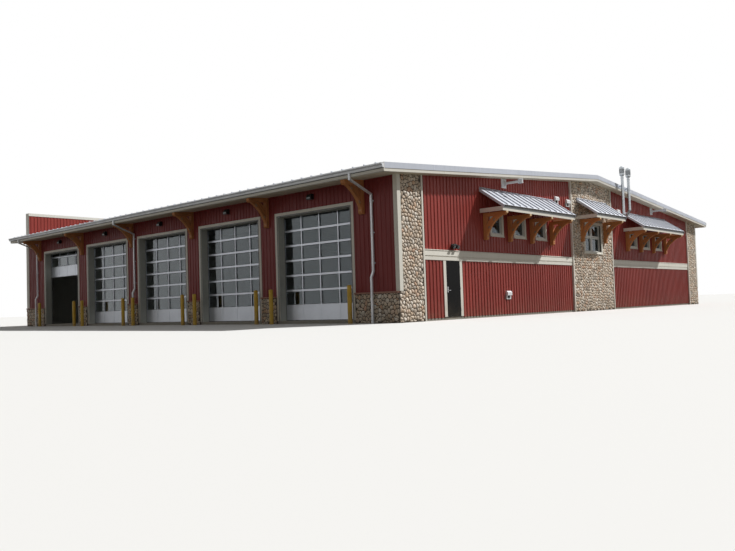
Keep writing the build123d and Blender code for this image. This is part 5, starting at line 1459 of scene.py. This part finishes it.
# Trim joints: cover strips on the belt, rakes, ridge and parapet cap, one every few metres
joints = {"every": 3.05, "wide": 0.05, "thick": 0.003, "screw": 0.007, "beltShift": 0.9, "rakeFrom": 1.6,
          "rakeCount": 5, "boardShift": 0.7, "ridgeFrom": 1.4, "ridgeHalf": 0.26, "ridgeWide": 0.07,
          "screwFrom": 0.25, "screwPitch": 0.53, "screwRow": 0.235, "screwCount": 57, "capFrom": 1.7,
          "capHalf": 0.04}
trimJoints, roofJoints = newShape(), newShape()
for low, high in sheetSpans:
    for k in range(1, int((high - low) / joints["every"]) + 1):
        y = low + k * joints["every"] - joints["beltShift"]
        start, end = y - joints["wide"] / 2, y + joints["wide"] / 2
        for place in (onGable, onEndWall):
            for out, bottom, top in ((beltLap["face"], beltLow + 0.003, lapLow), (lapFace, lapLow, lapHigh)):
                addPanel(trimJoints, place, (start, bottom), (end, top), out - 0.001, out + joints["thick"])


def addSlopedStrip(shape, y, face, heightAt, low, high):
    # a strip across a sloping board, from low to high over heightAt
    start, end = y - joints["wide"] / 2, y + joints["wide"] / 2
    outline = [(start, heightAt(start) + low), (end, heightAt(end) + low),
               (end, heightAt(end) + high), (start, heightAt(start) + high)]
    addProfile(shape, outline, alongX, face - 0.001, face + joints["thick"])


def jointPlaces(first, last):
    # a joint every few metres from first, none past last
    return [first + k * joints["every"] for k in range(int((last - first) / joints["every"]) + 1)]


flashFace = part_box("rake_flashing")[1].x
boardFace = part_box("rake_boards")[1].x
for side in (-1, 1):
    for k in range(joints["rakeCount"]):
        y = side * (joints["rakeFrom"] + k * joints["every"])
        addSlopedStrip(roofJoints, y, flashFace, roofTopAt, -0.188, 0.013)
        addSlopedStrip(trimJoints, y + joints["boardShift"], boardFace, soffitAt, 0.002, 0.108)
        for rise in (0.0, -0.08, -0.16):
            addHead(roofJoints, (flashFace + joints["thick"], y, roofTopAt(y) + rise), outOfGable,
                    joints["screw"], 0.004, 0.005, 0.004)
ridgeLow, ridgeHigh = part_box("ridge_cap")
half = joints["ridgeHalf"]
ridgeTop, ridgeEdge = ridgeHigh.z, ridgeHigh.z - half * roofPitch
ridgeOutline = [(-half, ridgeEdge - 0.001), (0.0, ridgeTop - 0.001), (half, ridgeEdge - 0.001),
                (half, ridgeEdge + 0.003), (0.0, ridgeTop + 0.003), (-half, ridgeEdge + 0.003)]
for x in jointPlaces(ridgeLow.x + joints["ridgeFrom"], ridgeHigh.x - 0.2):
    addProfile(roofJoints, ridgeOutline, alongX, x, x + joints["ridgeWide"])
for k in range(joints["screwCount"]):
    x = ridgeLow.x + joints["screwFrom"] + k * joints["screwPitch"]
    for y in (-joints["screwRow"], joints["screwRow"]):
        addHead(roofJoints, (x, y, ridgeTop - abs(y) * roofPitch), upward, 0.009, 0.005, 0.007, 0.005,
                sunk=0.003)
capLow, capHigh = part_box("parapet_cap")
half, faceX = joints["capHalf"], capHigh.x + joints["thick"]
for y in jointPlaces(capLow.y + joints["capFrom"], capHigh.y - 0.3):
    addBlock(trimJoints, (capLow.x + 0.001, y - half, capHigh.z - 0.001),
             (faceX, y + half, capHigh.z + joints["thick"]))
    addBlock(trimJoints, (capHigh.x - 0.001, y - half, capLow.z + 0.002),
             (faceX, y + half, capHigh.z + 0.001))
makePiece(trimJoints, "trim_joint_covers", creamEnamel)
makePiece(roofJoints, "rake_and_ridge_joints", paleFlashing)

# Where the roof meets the tall end wall: a flashing that steps over the seams, with a sealed top edge
flashingOutline = [(0.0, 0.0), (0.0, 0.16), (0.034, 0.16), (0.034, 0.03), (0.16, 0.012), (0.16, 0.0)]
upstand = newShape()
for edge in (frontFace, backFace):
    addLoft(upstand, [[(leftInside + out, y, roofTopAt(y) + rise) for out, rise in flashingOutline]
                      for y in (0.0, edge)])
makePiece(upstand, "end_wall_roof_flashing", paleFlashing)
print("trim joints covered")

# Screws of the wall sheets, in rows
screws = {"radius": 0.0075, "high": 0.006, "every": 2, "fromEdge": 0.03, "underRoof": 0.05, "overDoors": 0.12,
          "endRows": (0.24, 1.2, 2.16, 2.76, 3.9, 5.0, 5.9), "frontRows": (1.2, 2.3, 3.4, 4.4, 5.1)}
sheetScrews = newShape()


def addScrewRow(place, low, high, height, outward, holes=(), topAt=None):
    first = math.ceil((low + screws["fromEdge"]) / sheets["pitch"])
    last = math.floor((high - screws["fromEdge"]) / sheets["pitch"])
    for k in range(first, last + 1, screws["every"]):
        along = k * sheets["pitch"]
        if any(insideHole(along, height, hole, screws["fromEdge"]) for hole in holes):
            continue
        if topAt and height > topAt(along) - screws["underRoof"]:
            continue
        addHead(sheetScrews, place(along, sheets["pan"], height), outward, screws["radius"], 0.003,
                screws["high"], screws["radius"] * 0.6, sunk=0.001)


for low, high in sheetSpans:
    for height in screws["endRows"]:
        addScrewRow(onGable, low, high, height, outOfGable, windowHoles + [doorHole], soffitAt)
        addScrewRow(onEndWall, low, high, height, (-1, 0, 0))
for height in screws["frontRows"]:
    for low, high in pierSpans:
        if height < casingTop:
            addScrewRow(onFront, low, high, height, (0, -1, 0))
    addScrewRow(onBack, pierEdges[0], pierEdges[-1], height, (0, 1, 0))
addScrewRow(onFront, pierEdges[0], pierEdges[-1], casingTop + screws["overDoors"], (0, -1, 0))
makePiece(sheetScrews, "wall_sheet_screws", redSheet)
print("sheets screwed down")

# Overhead doors, second pass: bottom rubbers, and hinges and roller pins on the inner face
hardware = {"plateWide": 0.03, "plateHigh": 0.042, "thick": 0.004, "knuckle": 0.009, "knuckleHalf": 0.025,
            "pin": 0.006, "endInset": 0.05, "across": 5, "inside": 0.385, "rubber": 0.028, "rubberEnd": 0.024,
            "rubberOut": 0.013}
doorHinges, doorRubbers = newShape(), newShape()
innerFace = frontFace + hardware["inside"]
for index, bayX in enumerate(bayMiddles):
    lift = floorTop + (doors["raised"] if index == 0 else 0.0)
    reach = halfOpening - hardware["rubberEnd"]
    addPanel(doorRubbers, onCurtain, (bayX - reach, lift + 0.002), (bayX + reach, lift + hardware["rubber"]),
             0, hardware["rubberOut"])
    for row in range(1, doors["raisedRows"] + 1 if index == 0 else doors["sections"]):
        z = lift + row * sectionHeight
        for k in range(hardware["across"]):
            x = bayX + (k - (hardware["across"] - 1) / 2) * (doors["width"] / 2 - hardware["endInset"]) / 2
            addBlock(doorHinges, (x - hardware["plateWide"], innerFace - 0.001, z - hardware["plateHigh"]),
                     (x + hardware["plateWide"], innerFace + hardware["thick"], z + hardware["plateHigh"]))
            barrelY = innerFace + hardware["thick"] + 0.004
            addTurned(doorHinges, (x - hardware["knuckleHalf"], barrelY, z), (1, 0, 0),
                      [(0, hardware["knuckle"]), (2 * hardware["knuckleHalf"], hardware["knuckle"])], 10)
            if k in (0, hardware["across"] - 1):
                addTurned(doorHinges, (x, barrelY, z), (-1 if k == 0 else 1, 0, 0),
                          [(0, hardware["pin"]), (hardware["endInset"] + 0.001, hardware["pin"])], 10)
makePiece(doorHinges, "door_section_hinges", galvanised, smoothAngle=35)
makePiece(doorRubbers, "door_bottom_rubbers", rubberBlackAndPaintedShade)

# Man door: a tall plate behind each lever with its lock cylinder
lever = {"plate": 0.032, "plateHigh": 0.11, "corner": 0.012, "plateUp": 0.03, "thick": 0.004,
         "cylinder": 0.015, "cylinderUp": 0.075, "cylinderOut": 0.014, "fromEdge": 0.065, "height": 1.0}
leafBack, leafFace = (corner.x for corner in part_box("door_leaf"))
leverY, leverZ = doorLow + lever["fromEdge"], floorTop + lever["height"]
wide, high, corner = lever["plate"], lever["plateHigh"], lever["corner"]
leverOutline = [(-wide + corner, -high), (wide - corner, -high), (wide, -high + corner),
                (wide, high - corner), (wide - corner, high), (-wide + corner, high),
                (-wide, high - corner), (-wide, -high + corner)]
leverPlates = newShape()
for face, outward in ((leafFace, 1), (leafBack, -1)):
    placed = [(leverY + a, leverZ + lever["plateUp"] + b) for a, b in leverOutline]
    ends = sorted((face - outward * 0.001, face + outward * lever["thick"]))
    addProfile(leverPlates, placed, alongX, *ends)
    addHead(leverPlates, (face, leverY, leverZ + lever["cylinderUp"]), (outward, 0, 0), lever["cylinder"],
            lever["cylinderOut"], lever["cylinderOut"] + 0.002, lever["cylinder"] * 0.8, sunk=0, sides=20)
makePiece(leverPlates, "lever_plates", satinSteel, body="man_door", smoothAngle=35)

# The man door's threshold with its ridges, and a gasket on the stops
threshold = {"outline": ((-0.112, 0.0), (-0.1, 0.0035), (-0.014, 0.0035), (-0.002, 0.0)), "past": 0.004,
             "ridges": 4, "ridgeFrom": -0.085, "ridgePitch": 0.017, "ridgeWide": 0.006, "ridgeHigh": 0.0042}
stops = {"face": -0.015, "gasket": 0.014, "past": 0.004, "low": 0.006, "high": 2.1}
doorSills, stopGaskets = newShape(), newShape()
addProfile(doorSills, [(gableFace + out, floorTop + rise) for out, rise in threshold["outline"]], alongY,
           doorLow - threshold["past"], doorHigh + threshold["past"])
for k in range(threshold["ridges"]):
    ridge = threshold["ridgeFrom"] + k * threshold["ridgePitch"]
    addPanel(doorSills, onGable, (doorLow - 0.003, floorTop + 0.003),
             (doorHigh + 0.003, floorTop + threshold["ridgeHigh"]), ridge, ridge + threshold["ridgeWide"])
for edge, inward in ((doorLow, 1), (doorHigh, -1)):
    addPanel(stopGaskets, onGable, (edge - inward * stops["past"], floorTop + stops["low"]),
             (edge + inward * stops["gasket"], floorTop + stops["high"]),
             stops["face"] - 0.001, stops["face"] + 0.002)
makePiece(doorSills, "man_door_threshold", anodised)
makePiece(stopGaskets, "man_door_gasket", rubberBlackAndPaintedShade)
print("doors finished")


# Studio: pale floor, white surroundings, one soft lamp high behind the gable side
studio = {"floor": paint(236, 235, 232), "bounce": paint(118, 115, 110), "ambient": 0.205,
          "lampPower": 3.92, "lampSize": 1.2, "lampFrom": (1.0, 1.52, 1.84)}


def buildStudio():
    bpy.ops.mesh.primitive_plane_add(size=900, location=(0, 0, -0.001))
    ground = bpy.context.active_object
    ground.name = "studio_floor"
    floorFinish, tree, shader = newFinish("studioFloor")
    seenStraight = addNode(tree, "ShaderNodeLightPath").outputs["Is Camera Ray"]
    feed(tree, shader.inputs["Base Color"], mixColors(tree, seenStraight, studio["bounce"], studio["floor"]))
    shader.inputs["Roughness"].default_value = 0.95
    shader.inputs["Specular IOR Level"].default_value = 0.1
    ground.data.materials.append(floorFinish)
    lamp = bpy.data.lights.new("key_lamp", "SUN")
    lamp.energy = studio["lampPower"]
    lamp.angle = math.radians(studio["lampSize"])
    lampObject = bpy.data.objects.new("key_lamp", lamp)
    lampObject.rotation_euler = Vector(studio["lampFrom"]).to_track_quat("Z", "Y").to_euler()
    bpy.context.scene.collection.objects.link(lampObject)
    world = bpy.data.worlds.new("studio")
    bpy.context.scene.world = world
    world.use_nodes = True
    tree = world.node_tree
    background = tree.nodes["Background"]
    rays = addNode(tree, "ShaderNodeLightPath")
    seen = mathOf(tree, "MAXIMUM", rays.outputs["Is Camera Ray"], rays.outputs["Is Glossy Ray"])
    seen = mathOf(tree, "MAXIMUM", seen, rays.outputs["Is Transmission Ray"])
    background.inputs["Color"].default_value = (1, 1, 1, 1)
    feed(tree, background.inputs["Strength"], rangeOf(tree, seen, 0, 1, studio["ambient"], 1.0))
    bpy.context.scene.view_settings.view_transform = "Standard"


# View: the place and turn of the camera, solved from the photograph (millimetres, metres, degrees)
view = {"sensor": 36, "lens": 35.61, "furthest": 1500, "place": (30.876, -35.103, 0.683),
        "heading": 42.111, "tilt": 92.281, "roll": -1.86}


def placeCamera():
    lens = bpy.data.cameras.new("view")
    lens.sensor_width = view["sensor"]
    lens.lens = view["lens"]
    lens.clip_end = view["furthest"]
    camera = bpy.data.objects.new("view", lens)
    turn = Matrix.Identity(4)
    for axis, degrees in (("Z", view["heading"]), ("X", view["tilt"]), ("Z", view["roll"])):
        turn = turn @ Matrix.Rotation(math.radians(degrees), 4, axis)
    camera.matrix_world = Matrix.Translation(view["place"]) @ turn
    bpy.context.scene.collection.objects.link(camera)
    bpy.context.scene.camera = camera


buildStudio()
placeCamera()
print("studio ready")
